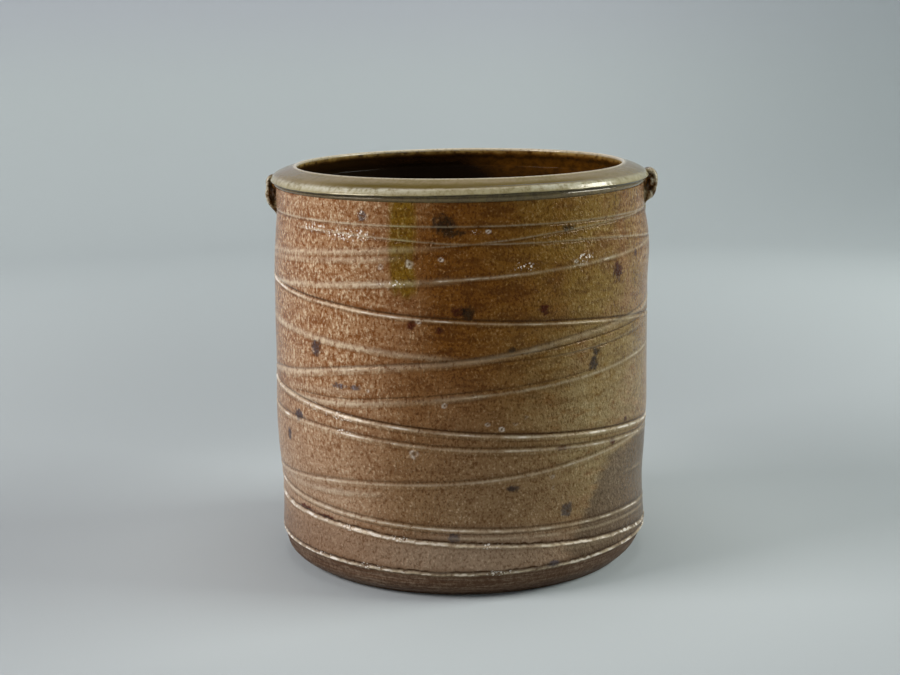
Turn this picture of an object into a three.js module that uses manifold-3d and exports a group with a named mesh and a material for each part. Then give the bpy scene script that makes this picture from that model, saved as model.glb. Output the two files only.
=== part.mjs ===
// An open stoneware jar, built from soft clay: a floor slab, a wall that stands on it with long lines cut round
// its outside, a bevelled rim collar that sits on the wall, and two small ears pinched on beside the rim.
// Millimetres, +Z up. The origin is the centre of the foot, on the surface that the jar stands on.
// Angles round the jar are in degrees from the front (-Y) towards +X.

import * as THREE from "three";
import { mergeVertices } from "three/addons/utils/BufferGeometryUtils.js";
import Module from "manifold-3d";

// Driving dimensions of the body
const neckRadius = 82.5; // outside of the wall just under the rim
const neckBand = 10; // straight band of wall under the rim
const rimSeatHeight = 169; // top of the wall, where the rim sits
const upperSwell = 1.9; // the wall stands proud of the neck by this below the band
const upperDrop = 33; // measured down from the rim seat
const bellySwell = 2.5; // widest part of the wall
const bellyHeight = 72;
const waistSwell = 0.5; // the wall draws in a little above the shoulder
const waistHeight = 34;
const shoulderSwell = 1.5; // sharp turn above the foot
const shoulderHeight = 13;
const footInset = 9.2; // how far the foot bevel runs in from the shoulder
const footSwell = 1; // the bevel is full, by this at half its height
const footEdge = 0.8; // softened edge where the foot meets the table
const wallThickness = 7.5; // at the neck, where the wall is thinnest
const floorThickness = 9;
const heelRadius = 8; // round corner inside, between wall and floor

// Driving dimensions of the rim
const ridgeOverhang = 2.3; // the ridge stands out from the neck by this
const ridgeAboveSeat = 4.5;
const rimUndercut = 2; // sloping underside between neck and ridge side
const rimSideDraft = 0.5; // the short side leans in towards its lower edge
const lipAboveRidge = 4.5; // the bevelled top climbs by this from ridge to lip
const lipOverhang = 2.2; // the lip closes in over the inside of the wall
const lipRound = 1.4;

// Driving dimensions of the ears
const earProud = 6.5; // reach beyond the neck
const earWidth = 13; // along the rim
const earEdgeRound = 1.3;
const earBand = 1.7; // clay left round the hollow
const earHollowDepth = 9.5;
const earLap = 3; // how far the ear laps on to the bevelled top
const earTail = 3.5; // height over which the lower end swells out from the wall
const earBead = 1.7; // radius of the clay bead in the right ear
const earGap = 0.3; // clearance to the wall and the rim

// The two ears were pinched by hand, so they differ in height
const ears = [
  { name: "lug_left", side: -1, aboveRidge: 1.2, height: 15.3, hollowHeight: 10.6, bead: false },
  { name: "lug_right", side: 1, aboveRidge: 2.5, height: 15.0, hollowHeight: 8.4, bead: true },
];

// Cut lines
const grooveWidth = 2.6;
const grooveDepth = 0.9;
const grooveFadeSteps = 4; // a cut starts and ends shallow over this many facets
const cutterReach = 1; // how far the cutter stands outside the wall
const lineEndLift = 0.2; // a line starts and ends this far outside the clay

// Each line is [degrees from the front, share of the way from the shoulder up to the rim seat]. The potter's tool
// went round and round, so the degrees run on past 360.
const cutLines = [
  [[40, 0.94], [210, 0.82], [290, 0.745], [435, 0.635], [570, 0.516], [650, 0.448], [720, 0.387],
    [780, 0.341], [870, 0.271], [940, 0.216], [1010, 0.161], [1160, 0.09]],
  [[-110, 0.187], [0, 0.254], [75, 0.315], [140, 0.368], [290, 0.445], [360, 0.488], [430, 0.545],
    [570, 0.677], [650, 0.756], [720, 0.805], [780, 0.839]],
  [[-150, 0.42], [-85, 0.485], [0, 0.583], [60, 0.655], [190, 0.781], [290, 0.845], [360, 0.894],
    [430, 0.935]],
];

// Facets round the jar and along its small curves
const facets = 60;
const heelFacets = 5;
const curveFacets = 5;
const beadFacets = 10;

// Sizes that follow from the values above
const innerRadius = neckRadius - wallThickness;
const shoulderRadius = neckRadius + shoulderSwell;
const footRadius = shoulderRadius - footInset;
const ridgeRadius = neckRadius + ridgeOverhang;
const ridgeHeight = rimSeatHeight + ridgeAboveSeat;
const lipRadius = innerRadius - lipOverhang;
const lipHeight = ridgeHeight + lipAboveRidge;
const degreesPerFacet = 360 / facets;

// The outside of the jar from the table to the rim seat, as [radius, height] where its direction changes
const outerStations = [
  [footRadius - footEdge, 0],
  [footRadius, footEdge],
  [(footRadius + shoulderRadius) / 2 + footSwell, (footEdge + shoulderHeight) / 2],
  [shoulderRadius, shoulderHeight],
  [neckRadius + waistSwell, waistHeight],
  [neckRadius + bellySwell, bellyHeight],
  [neckRadius + upperSwell, rimSeatHeight - upperDrop],
  [neckRadius, rimSeatHeight - neckBand],
  [neckRadius, rimSeatHeight],
];

const wasm = await Module();
wasm.setup();

// A closed geometry as a solid that can be joined and cut.
function solidFrom(geometry) {
  const bare = geometry.clone();
  bare.deleteAttribute("normal");
  bare.deleteAttribute("uv");
  const merged = mergeVertices(bare);
  return new wasm.Manifold(
    new wasm.Mesh({
      numProp: 3,
      vertProperties: new Float32Array(merged.attributes.position.array),
      triVerts: new Uint32Array(merged.index.array),
    }),
  );
}

// The largest body of a solid as a geometry that a mesh can show. Where two cuts cross at the surface, a loose
// chip of clay can be left between them, and it falls away.
function geometryFrom(solid) {
  const bodies = solid.decompose().sort((one, other) => other.volume() - one.volume());
  const { vertProperties, triVerts } = bodies[0].getMesh();
  const geometry = new THREE.BufferGeometry();
  geometry.setAttribute("position", new THREE.BufferAttribute(vertProperties, 3));
  geometry.setIndex(new THREE.BufferAttribute(triVerts, 1));
  geometry.computeVertexNormals();
  return geometry;
}

// Turns a [radius, height] outline round the jar's axis. The outline runs up the outside and down the inside.
function turned(outline) {
  const points = outline.map(([radius, height]) => new THREE.Vector2(radius, height));
  return new THREE.LatheGeometry(points, facets).rotateX(Math.PI / 2);
}

// The straight-line value between listed [at, value] pairs.
function between(pairs, at) {
  const next = Math.max(1, pairs.findIndex((pair) => pair[0] >= at));
  const [fromAt, fromValue] = pairs[next - 1];
  const [toAt, toValue] = pairs[next];
  return THREE.MathUtils.mapLinear(at, fromAt, toAt, fromValue, toValue);
}

// The outside radius of the wall or foot at a height.
function outerRadius(height) {
  return between(outerStations.map(([radius, at]) => [at, radius]), height);
}

// The outside outline from one height up to another.
function outerOutline(low, high) {
  const inside = outerStations.filter(([, height]) => height > low && height < high);
  return [[outerRadius(low), low], ...inside, [outerRadius(high), high]];
}

// The rim's outline from the neck over the ridge to the lip, grown outwards and upwards by a clearance.
function rimTopOutline(grow) {
  return [
    [neckRadius + grow, rimSeatHeight],
    [ridgeRadius - rimSideDraft + grow, rimSeatHeight + rimUndercut],
    [ridgeRadius + grow, ridgeHeight + grow],
    [lipRadius + lipRound + grow, lipHeight + grow],
  ];
}

// The floor slab, with the lower part of the foot bevel as its edge.
function floorGeometry() {
  return turned([[0, 0], ...outerOutline(0, floorThickness), [0, floorThickness]]);
}

// The plain wall, before any line is cut.
function wallGeometry() {
  const heel = [];
  for (let step = 0; step <= heelFacets; step += 1) {
    const turn = (step / heelFacets) * (Math.PI / 2);
    heel.push([
      innerRadius - heelRadius + heelRadius * Math.cos(turn),
      floorThickness + heelRadius - heelRadius * Math.sin(turn),
    ]);
  }
  const outside = outerOutline(floorThickness, rimSeatHeight);
  return turned([...outside, [innerRadius, rimSeatHeight], ...heel, outside[0]]);
}

// The angle, height and depth of a cut line at the middle of each facet it passes.
function lineSteps(line) {
  const first = Math.ceil(line[0][0] / degreesPerFacet);
  const last = Math.floor(line[line.length - 1][0] / degreesPerFacet) - 1;
  const steps = [];
  for (let facet = first; facet <= last; facet += 1) {
    const degrees = (facet + 0.5) * degreesPerFacet;
    const fade = Math.min(1, (facet - first) / grooveFadeSteps, (last - facet) / grooveFadeSteps);
    steps.push({
      angle: THREE.MathUtils.degToRad(degrees),
      height: THREE.MathUtils.lerp(shoulderHeight, rimSeatHeight, between(line, degrees)),
      depth: THREE.MathUtils.lerp(-lineEndLift, grooveDepth, fade),
    });
  }
  return steps;
}

// A long V-shaped cutter that follows a line round the wall.
function lineCutter(line) {
  const steps = lineSteps(line);
  const flare = grooveWidth / 2 / grooveDepth;
  const positions = [];
  const indices = [];
  const place = (radius, angle, height) =>
    positions.push(radius * Math.sin(angle), -radius * Math.cos(angle), height);
  for (const { angle, height, depth } of steps) {
    const wall = outerRadius(height);
    const half = flare * (depth + cutterReach);
    place(wall + cutterReach, angle, height + half);
    place(wall - depth, angle, height);
    place(wall + cutterReach, angle, height - half);
  }
  for (let ring = 0; ring < 3 * (steps.length - 1); ring += 3) {
    for (let side = 0; side < 3; side += 1) {
      const here = ring + side;
      const beside = ring + ((side + 1) % 3);
      indices.push(here, beside + 3, beside, here, here + 3, beside + 3);
    }
  }
  const end = 3 * (steps.length - 1);
  indices.push(0, 1, 2, end, end + 2, end + 1);
  const geometry = new THREE.BufferGeometry();
  geometry.setAttribute("position", new THREE.Float32BufferAttribute(positions, 3));
  geometry.setIndex(indices);
  return geometry;
}

// The wall with its lines cut in.
function cutWallGeometry() {
  let wall = solidFrom(wallGeometry());
  for (const line of cutLines) {
    wall = wall.subtract(solidFrom(lineCutter(line)));
  }
  return geometryFrom(wall);
}

// The rim collar, with a rounded lip that closes in over the inside of the wall.
function rimGeometry() {
  const lip = [];
  for (let step = 1; step <= curveFacets; step += 1) {
    const turn = (step / curveFacets) * (Math.PI / 2);
    lip.push([
      lipRadius + lipRound - lipRound * Math.sin(turn),
      lipHeight - lipRound + lipRound * Math.cos(turn),
    ]);
  }
  const outside = rimTopOutline(0);
  return turned([...outside, ...lip, [innerRadius, rimSeatHeight], outside[0]]);
}

// The outside of the jar near the rim, grown by the clearance that an ear keeps to it.
function clearanceSolid() {
  const wall = outerOutline(bellyHeight, rimSeatHeight).map(([radius, height]) => [radius + earGap, height]);
  const outline = [[0, bellyHeight], ...wall, ...rimTopOutline(earGap), [0, lipHeight + earGap]];
  return solidFrom(turned(outline));
}

// One ear: a band of clay arched from the rim ridge down to the wall, hollow towards the front and closed behind.
function earGeometry(ear) {
  const top = ridgeHeight + ear.aboveRidge;
  const bottom = top - ear.height;
  const reach = neckRadius + earProud;
  const root = neckRadius - earBand;
  const outline = new THREE.Shape();
  outline.moveTo(ear.side * root, bottom);
  outline.lineTo(ear.side * neckRadius, bottom);
  outline.quadraticCurveTo(ear.side * reach, bottom + earTail, ear.side * reach, (top + bottom) / 2);
  outline.quadraticCurveTo(ear.side * reach, top, ear.side * (ridgeRadius - earBand), top);
  outline.lineTo(ear.side * (ridgeRadius - earLap), top - earBand);
  outline.lineTo(ear.side * root, top - 2 * earBand);
  const body = new THREE.ExtrudeGeometry(outline, {
    depth: earWidth - 2 * earEdgeRound,
    bevelThickness: earEdgeRound,
    bevelSize: earEdgeRound,
    bevelOffset: -earEdgeRound,
    bevelSegments: 2,
    curveSegments: curveFacets,
  });
  body.translate(0, 0, earEdgeRound - earWidth / 2).rotateX(Math.PI / 2);

  const hollowHalfWidth = (earProud - earBand) / 2;
  const hollowRadius = reach - earBand - hollowHalfWidth;
  const hollowMiddle = top - earBand - ear.hollowHeight / 2;
  const hollowOutline = new THREE.Shape();
  hollowOutline.absellipse(
    ear.side * hollowRadius, hollowMiddle, hollowHalfWidth, ear.hollowHeight / 2, 0, 2 * Math.PI,
  );
  const hollow = new THREE.ExtrudeGeometry(hollowOutline, {
    depth: earHollowDepth + cutterReach,
    bevelEnabled: false,
    curveSegments: 2 * curveFacets,
  });
  hollow.translate(0, 0, earWidth / 2 - earHollowDepth).rotateX(Math.PI / 2);

  let solid = solidFrom(body).subtract(solidFrom(hollow));
  if (ear.bead) {
    const bead = new THREE.SphereGeometry(earBead, beadFacets, beadFacets);
    bead.translate(ear.side * (reach - earBand - earBead / 2), -earWidth / 2 + 2 * earBead, hollowMiddle);
    solid = solid.add(solidFrom(bead));
  }
  return geometryFrom(solid.subtract(clearanceSolid()));
}

// Finishes, as the fired glaze shows them
const finishes = {
  cutWall: new THREE.MeshStandardMaterial({ color: 0x8a5a3a, roughness: 0.42, metalness: 0 }),
  footClay: new THREE.MeshStandardMaterial({ color: 0x4d3a33, roughness: 0.7, metalness: 0 }),
  rimAsh: new THREE.MeshStandardMaterial({ color: 0x8b8266, roughness: 0.25, metalness: 0 }),
  earAsh: new THREE.MeshStandardMaterial({ color: 0x6b5a3c, roughness: 0.3, metalness: 0 }),
};

// A named piece of the jar.
function piece(name, geometry, material) {
  const mesh = new THREE.Mesh(geometry, material);
  mesh.name = name;
  return mesh;
}

const jar = new THREE.Group();
jar.name = "jar";
jar.add(piece("floor", floorGeometry(), finishes.footClay));
jar.add(piece("wall", cutWallGeometry(), finishes.cutWall));
jar.add(piece("rim", rimGeometry(), finishes.rimAsh));
for (const ear of ears) {
  jar.add(piece(ear.name, earGeometry(ear), finishes.earAsh));
}

export default jar;
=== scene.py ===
"""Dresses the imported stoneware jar: glazed skins for its floor, wall, rim and ears.

It also makes a plain bowl-shaped backdrop, three soft lamps and the photo's camera. Sizes in the
dataclasses are in millimetres, as on the bench, and every mesh is made in metres. Places round the jar
are in degrees from the front (-Y) towards +X.
"""

import logging
import math
from dataclasses import astuple, dataclass, field
from enum import Enum
from typing import Optional, Sequence, Union

import bpy
import numpy as np
from mathutils import Matrix, Vector


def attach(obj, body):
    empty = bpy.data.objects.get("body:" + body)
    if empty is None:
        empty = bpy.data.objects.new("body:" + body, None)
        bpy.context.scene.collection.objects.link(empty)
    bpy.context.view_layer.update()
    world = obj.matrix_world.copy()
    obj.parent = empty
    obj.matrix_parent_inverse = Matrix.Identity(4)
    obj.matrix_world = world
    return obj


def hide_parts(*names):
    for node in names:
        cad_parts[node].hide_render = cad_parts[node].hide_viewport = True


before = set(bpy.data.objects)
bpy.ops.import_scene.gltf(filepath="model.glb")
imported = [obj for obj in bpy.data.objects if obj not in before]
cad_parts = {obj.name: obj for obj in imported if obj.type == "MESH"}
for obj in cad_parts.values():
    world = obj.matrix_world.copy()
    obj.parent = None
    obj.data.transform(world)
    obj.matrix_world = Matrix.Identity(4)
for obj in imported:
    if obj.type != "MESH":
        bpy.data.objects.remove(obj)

LOG = logging.getLogger("jar")
MM = 0.001
BODY = "root"
COLUMNS = 720
Points = Sequence[tuple[float, float]]
Triple = tuple[float, float, float]
Colour = Triple


def smooth_step(value: np.ndarray, low: float, high: float) -> np.ndarray:
    """Eases from 0 at low to 1 at high."""
    share = np.clip((value - low) / (high - low), 0.0, 1.0)
    return share * share * (3.0 - 2.0 * share)


def bump(value: np.ndarray, middle: float, width: float) -> np.ndarray:
    """Rises to 1 in the middle and falls off softly on both sides."""
    return np.exp(-(((value - middle) / width) ** 2))


def follow(points: Points, at: np.ndarray) -> np.ndarray:
    """Runs a smooth curve without overshoot through a few chosen points.

    Args:
        points: (position, value) pairs with rising positions.
        at: positions to read the curve at; outside the points the end values hold.

    Returns:
        The curve's values, shaped as at.
    """
    x, y = (np.array(column, float) for column in zip(*points))
    span = np.diff(x)
    slope = np.diff(y) / span
    tangent = np.zeros_like(x)
    tangent[0], tangent[-1] = slope[0], slope[-1]
    same_way = slope[:-1] * slope[1:] > 0.0
    blend = 2.0 * slope[:-1] * slope[1:] / np.where(same_way, slope[:-1] + slope[1:], 1.0)
    tangent[1:-1] = np.where(same_way, blend, 0.0)
    inside = np.clip(at, x[0], x[-1])
    piece = np.clip(np.searchsorted(x, inside, side="right") - 1, 0, len(span) - 1)
    t = (inside - x[piece]) / span[piece]
    start = (1.0 + 2.0 * t) * (1.0 - t) ** 2 * y[piece] + t * (1.0 - t) ** 2 * span[piece] * tangent[piece]
    end = t * t * (3.0 - 2.0 * t) * y[piece + 1] + t * t * (t - 1.0) * span[piece] * tangent[piece + 1]
    return start + end


def smooth_outline(points: Points, step: float) -> np.ndarray:
    """Runs a smooth outline through chosen (radius, height) points.

    Args:
        points: the outline's chosen points in millimetres.
        step: the distance between the points that come back, in millimetres.

    Returns:
        An array of (radius, height) rows.
    """
    chosen = np.array(points, float)
    along = np.concatenate([[0.0], np.cumsum(np.hypot(*np.diff(chosen, axis=0).T))])
    at = np.linspace(0.0, along[-1], max(2, round(along[-1] / step) + 1))
    return np.stack([follow(list(zip(along, chosen[:, axis])), at) for axis in (0, 1)], axis=1)


class Grain:
    """Seeded smooth noise over points in space."""

    CELLS = 64

    def __init__(self, seed: int) -> None:
        """Draws the lattice of random values."""
        self.lattice = np.random.default_rng(seed).uniform(-1.0, 1.0, (self.CELLS,) * 3)

    def at(self, points: np.ndarray, cell: Union[float, Triple]) -> np.ndarray:
        """Reads the noise.

        Args:
            points: an array whose last axis is x, y, z in millimetres.
            cell: the size of one lump of noise, the same each way or one size per axis.

        Returns:
            Values from -1 to 1, one per point.
        """
        scaled = points / np.array(cell, float)
        corner = np.floor(scaled).astype(int)
        t = scaled - corner
        t = t * t * (3.0 - 2.0 * t)
        total = np.zeros(points.shape[:-1])
        for step in np.ndindex(2, 2, 2):
            index = (corner + np.array(step)) % self.CELLS
            weight = np.prod(np.where(np.array(step) == 1, t, 1.0 - t), axis=-1)
            total += weight * self.lattice[index[..., 0], index[..., 1], index[..., 2]]
        return total


def around(radii: np.ndarray, heights: np.ndarray, degrees: np.ndarray) -> np.ndarray:
    """Places radii and heights round the jar's axis, as x, y, z on the last axis."""
    turn = np.radians(degrees)
    return np.stack(np.broadcast_arrays(radii * np.sin(turn), -radii * np.cos(turn), heights), axis=-1)


def column_degrees() -> np.ndarray:
    """The place of each mesh column round the jar, from -180 up to 180."""
    return np.linspace(-180.0, 180.0, COLUMNS, endpoint=False)


def grid_faces(rows: int, columns: int, ringed: bool = False) -> np.ndarray:
    """Numbers the corners of a grid's faces. Its columns always ring round, and its rows can.

    Args:
        rows: how many rows of points the grid has.
        columns: how many points a row has.
        ringed: whether the last row joins the first.

    Returns:
        Four vertex numbers a face, row by row.
    """
    here = np.arange(columns)
    beside = (here + 1) % columns
    row = np.arange(rows if ringed else rows - 1)[:, None]
    low, high = row * columns, (row + 1) % rows * columns
    return np.stack([low + here, low + beside, high + beside, high + here], axis=-1).reshape(-1, 4)


def end_faces(rows: int, columns: int) -> list[np.ndarray]:
    """Numbers the fans that close a grid's ends on two poles, which are numbered after the grid's points.

    Args:
        rows: how many rows of points the grid has.
        columns: how many points a row has.

    Returns:
        The first row's fan and the last row's fan, with three vertex numbers a face.
    """
    here = np.arange(columns)
    beside = (here + 1) % columns
    last = (rows - 1) * columns
    low, high = (np.full(columns, rows * columns + pole) for pole in (0, 1))
    return [np.stack([low, beside, here], axis=-1), np.stack([high, last + here, last + beside], axis=-1)]


def with_poles(grid: np.ndarray) -> np.ndarray:
    """A grid's points in one list, followed by the middles of its first and last rows."""
    return np.concatenate([grid.reshape(-1, 3), [grid[0].mean(axis=0), grid[-1].mean(axis=0)]])


def set_marks(mesh: bpy.types.Mesh, values: dict[str, np.ndarray]) -> None:
    """Writes named numbers on a mesh, one per vertex, for its finish to read."""
    for key, value in values.items():
        mesh.attributes.new(key, "FLOAT", "POINT").data.foreach_set("value", value.astype(np.float32))


def mesh_object(name: str, verts: np.ndarray, faces: Sequence[np.ndarray]) -> bpy.types.Object:
    """Makes a smooth-shaded mesh object from arrays.

    Args:
        name: the object's name.
        verts: vertex places in millimetres.
        faces: arrays of vertex numbers, each array with one face size.

    Returns:
        The new object, linked to the scene.
    """
    mesh = bpy.data.meshes.new(name)
    loops = np.concatenate([block.reshape(-1) for block in faces])
    sizes = np.concatenate([np.full(len(block), block.shape[1]) for block in faces])
    mesh.vertices.add(len(verts))
    mesh.vertices.foreach_set("co", (verts * MM).astype(np.float32).reshape(-1))
    mesh.loops.add(len(loops))
    mesh.loops.foreach_set("vertex_index", loops.astype(np.int32))
    mesh.polygons.add(len(sizes))
    starts = np.concatenate([[0], np.cumsum(sizes)[:-1]])
    mesh.polygons.foreach_set("loop_start", starts.astype(np.int32))
    mesh.update(calc_edges=True)
    mesh.shade_smooth()
    made = bpy.data.objects.new(name, mesh)
    bpy.context.scene.collection.objects.link(made)
    return made


@dataclass
class Skin:
    """A turned surface as a grid of points, with the marks that its finish reads."""

    name: str
    points: np.ndarray
    marks: dict[str, np.ndarray] = field(default_factory=dict)
    capped: bool = False

    def build(self) -> bpy.types.Object:
        """Makes the closed mesh: rows join into a ring, or end in a cap at each pole.

        Returns:
            The new object, linked to the scene.
        """
        rows, columns, _ = self.points.shape
        verts = self.points.reshape(-1, 3)
        faces = [grid_faces(rows, columns, ringed=not self.capped)]
        values = {key: value.reshape(-1) for key, value in self.marks.items()}
        if self.capped:
            verts = with_poles(self.points)
            faces += end_faces(rows, columns)
            values = {key: np.append(value, [value[0], value[-1]]) for key, value in values.items()}
        made = mesh_object(self.name, verts, faces)
        set_marks(made.data, values)
        return made


class Wire:
    """A socket's output in an expression; arithmetic on it adds Math nodes."""

    def __init__(self, shader: "Shader", socket: bpy.types.NodeSocket) -> None:
        """Keeps the shader and the socket."""
        self.shader = shader
        self.socket = socket

    def _join(self, operation: str, first: "Number", second: "Number") -> "Wire":
        """Adds a Math node for two operands."""
        return self.shader.add("ShaderNodeMath", {"operation": operation}, {0: first, 1: second})

    def __add__(self, other: "Number") -> "Wire":
        """Adds."""
        return self._join("ADD", self, other)

    def __sub__(self, other: "Number") -> "Wire":
        """Takes away."""
        return self._join("SUBTRACT", self, other)

    def __rsub__(self, other: "Number") -> "Wire":
        """Is taken away from a number."""
        return self._join("SUBTRACT", other, self)

    def __mul__(self, other: "Number") -> "Wire":
        """Multiplies."""
        return self._join("MULTIPLY", self, other)

    def __or__(self, other: "Number") -> "Wire":
        """Takes the larger of two."""
        return self._join("MAXIMUM", self, other)

    __radd__ = __add__
    __rmul__ = __mul__


Number = Union[float, Wire]


class Shader:
    """One material's nodes."""

    RAGGED = 0.0012
    RAGGED_SCALE = 700.0
    DROP_EDGE = (-0.16, 0.22)
    RUN_SCALE = 300.0

    def __init__(self, name: str) -> None:
        """Starts a material with a place that is shaken a little, for ragged edges.

        Args:
            name: the material's name.
        """
        self.material = bpy.data.materials.new(name)
        self.material.use_nodes = True
        self.tree = self.material.node_tree
        self.tree.nodes.clear()
        self.place = self.add("ShaderNodeTexCoord", out="Object")
        inputs = {"Vector": self.place, "Scale": self.RAGGED_SCALE}
        shake = self.stain(self.add("ShaderNodeTexNoise", None, inputs, out="Color"), (self.RAGGED,) * 3)
        self.shaken = self.add("ShaderNodeVectorMath", {"operation": "ADD"}, {0: self.place, 1: shake})

    def add(
        self,
        kind: str,
        settings: Optional[dict] = None,
        inputs: Optional[dict] = None,
        out: Union[int, str] = 0,
    ) -> Wire:
        """Adds one node.

        Args:
            kind: the node's type name.
            settings: properties set before the sockets.
            inputs: a value or a Wire for each socket, by name or number.
            out: the output that the expression goes on with.

        Returns:
            That output.
        """
        made = self.tree.nodes.new(kind)
        for key, value in (settings or {}).items():
            setattr(made, key, value)
        for key, value in (inputs or {}).items():
            if isinstance(value, Wire):
                self.tree.links.new(value.socket, made.inputs[key])
            else:
                made.inputs[key].default_value = value
        return Wire(self, made.outputs[out])

    def mark(self, name: str) -> Wire:
        """Reads a mark that the mesh carries."""
        return self.add("ShaderNodeAttribute", {"attribute_name": name}, out="Fac")

    def noise(
        self, scale: float, detail: float = 2.0, stretch: Optional[Triple] = None, finer: float = 0.5
    ) -> Wire:
        """Reads noise over the object's own space.

        Args:
            scale: lumps per metre.
            detail: how many finer layers the noise has.
            stretch: what each axis is multiplied by first, to draw the lumps out.
            finer: how strong each finer layer is beside the one before.

        Returns:
            The noise, about 0.5 on average.
        """
        place = self.place
        if stretch:
            place = self.stain(place, stretch)
        inputs = {"Vector": place, "Scale": scale, "Detail": detail, "Roughness": finer}
        return self.add("ShaderNodeTexNoise", None, inputs)

    def drops(self, scale: float, small: float, large: float) -> Wire:
        """Scatters soft ragged drops of mixed sizes.

        Args:
            scale: drops per metre.
            small: the smallest drop's radius, as a share of the spacing.
            large: the largest drop's radius, as a share of the spacing.

        Returns:
            1 in the middle of a drop, 0 between the drops.
        """
        reach = self.add("ShaderNodeTexVoronoi", None, {"Vector": self.shaken, "Scale": scale})
        chance = Wire(self, reach.socket.node.outputs["Color"])
        return self.ease(chance * (large - small) + small - reach, *self.DROP_EDGE)

    def runs(self) -> tuple[Wire, Wire]:
        """Reads how the inner glaze runs.

        Returns:
            The noise that the runs follow, and how thin the glaze is there.
        """
        flow = self.noise(self.RUN_SCALE, 3.0, (1.0, 1.0, 1.5), 0.7)
        return flow, self.mark("thin") * (0.3 + 0.7 * self.ease(flow, 0.22, 0.72))

    def ease(self, value: Wire, low: float, high: float) -> Wire:
        """Eases from 0 at low to 1 at high."""
        inputs = {"Value": value, "From Min": low, "From Max": high}
        return self.add("ShaderNodeMapRange", {"interpolation_type": "SMOOTHSTEP"}, inputs)

    def blend(self, share: Number, first: Union[Wire, Colour], second: Union[Wire, Colour]) -> Wire:
        """Mixes two colours."""
        ends = [end if isinstance(end, Wire) else (*end, 1.0) for end in (first, second)]
        return self.add("ShaderNodeMix", {"data_type": "RGBA"}, {0: share, 6: ends[0], 7: ends[1]}, out=2)

    def lay(self, colour: Union[Wire, Colour], *coats: tuple[Number, Union[Wire, Colour]]) -> Wire:
        """Lays coats over a colour, one after another.

        Args:
            colour: what they are laid on.
            coats: how much of each coat shows, and its colour.

        Returns:
            The colour that is seen.
        """
        for share, coat in coats:
            colour = self.blend(share, colour, coat)
        return colour

    def stain(self, colour: Wire, tint: Triple) -> Wire:
        """Multiplies a colour, or a place, by three numbers."""
        return self.add("ShaderNodeVectorMath", {"operation": "MULTIPLY"}, {0: colour, 1: tint})

    def relief(self, height: Wire, depth: float) -> Wire:
        """Turns a height from 0 to 1 into a bumped normal; depth is in millimetres."""
        return self.add("ShaderNodeBump", None, {"Strength": 1.0, "Distance": depth * MM, "Height": height})

    def finish(
        self, colour: Wire, roughness: Number, normal: Optional[Wire], **fixed: Union[float, tuple]
    ) -> None:
        """Ends the material in a Principled surface.

        Args:
            colour: the base colour.
            roughness: the roughness.
            normal: the bumped normal, if there is one.
            fixed: constant values for the surface's other sockets, with _ for a space.
        """
        inputs = {"Base Color": colour, "Roughness": roughness}
        if normal is not None:
            inputs["Normal"] = normal
        inputs.update({key.replace("_", " "): value for key, value in fixed.items()})
        surface = self.add("ShaderNodeBsdfPrincipled", None, inputs)
        output = self.tree.nodes.new("ShaderNodeOutputMaterial")
        self.tree.links.new(surface.socket, output.inputs["Surface"])


@dataclass(frozen=True)
class JarShape:
    """The jar's own sizes, as the solids have them, with room for the clay that the tool pushed up."""

    foot_radius: float = 74.8
    foot_edge: float = 0.8
    foot_swell: float = 2.4
    foot_lean: float = 0.9
    shoulder_radius: float = 83.9
    shoulder_height: float = 13.0
    seat_height: float = 169.0
    inner_radius: float = 75.0
    heel_radius: float = 8.0
    floor_height: float = 9.0
    outside: Points = (
        (13, 83.9), (20, 83.3), (34, 82.75), (52, 83.8), (72, 84.55), (104, 84.6), (136, 84.1), (150, 83.1),
        (159, 82.4), (169, 82.4),
    )
    bulges: tuple[tuple[float, ...], ...] = ((80.0, 26.0, 145.0, 15.0, 1.6), (-90.0, 40.0, 52.0, 28.0, 1.1))
    amber_side: Points = (
        (-180, 0.5), (-130, 0.3), (-80, 0.35), (0, 0.3), (80, 0.6), (120, 1), (160, 1), (180, 0.5),
    )
    amber_top: float = 176.5
    amber_base: float = 170.5
    amber_run: float = 14.0
    deep_height: float = 173.8
    deep_reach: float = 1.3
    deep_share: float = 0.65

    # The bevel's swell, share * (1 - share) ** 2, is at most 4 / 27.
    FULL_SWELL = 27.0 / 4.0

    def thin_inside(self, heights: np.ndarray, degrees: np.ndarray) -> np.ndarray:
        """How thin the inner glaze is: it runs down from the lip, farthest on the right behind.

        Args:
            heights: heights in millimetres, one per point.
            degrees: places round the jar, one per column.

        Returns:
            0 where the glaze is deep, and up to 1 where it is thin.
        """
        side = follow(self.amber_side, degrees)
        run = 1.0 - self.deep_share * bump(heights, self.deep_height, self.deep_reach)
        base = self.amber_base - self.amber_run * side ** 3
        return side * run * smooth_step(heights, base, self.amber_top)

    def outer_radius(self, heights: np.ndarray, degrees: np.ndarray) -> np.ndarray:
        """The smooth outside radius, with the foot's bevel and the slow bulges left by the potter's hands.

        Args:
            heights: heights in millimetres, one per row.
            degrees: places round the jar, one per column.

        Returns:
            Radii in millimetres, one row per height.
        """
        share = (heights[:, None] - self.foot_edge) / (self.shoulder_height - self.foot_edge)
        share = np.clip(share, 0.0, 1.0)
        swell = self.foot_swell - self.foot_lean * np.sin(np.radians(degrees))
        bevel = self.foot_radius + (self.shoulder_radius - self.foot_radius) * share
        bevel = bevel + self.FULL_SWELL * share * (1.0 - share) ** 2 * swell
        wall = follow(self.outside, heights)[:, None]
        for place, reach, height, rise, out in self.bulges:
            beside = (degrees - place + 180.0) % 360.0 - 180.0
            above = (heights[:, None] - height) / rise
            wall = wall + out * np.exp(-((beside / reach) ** 2) - above ** 2)
        return np.where(heights[:, None] < self.shoulder_height, bevel, wall)


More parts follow.
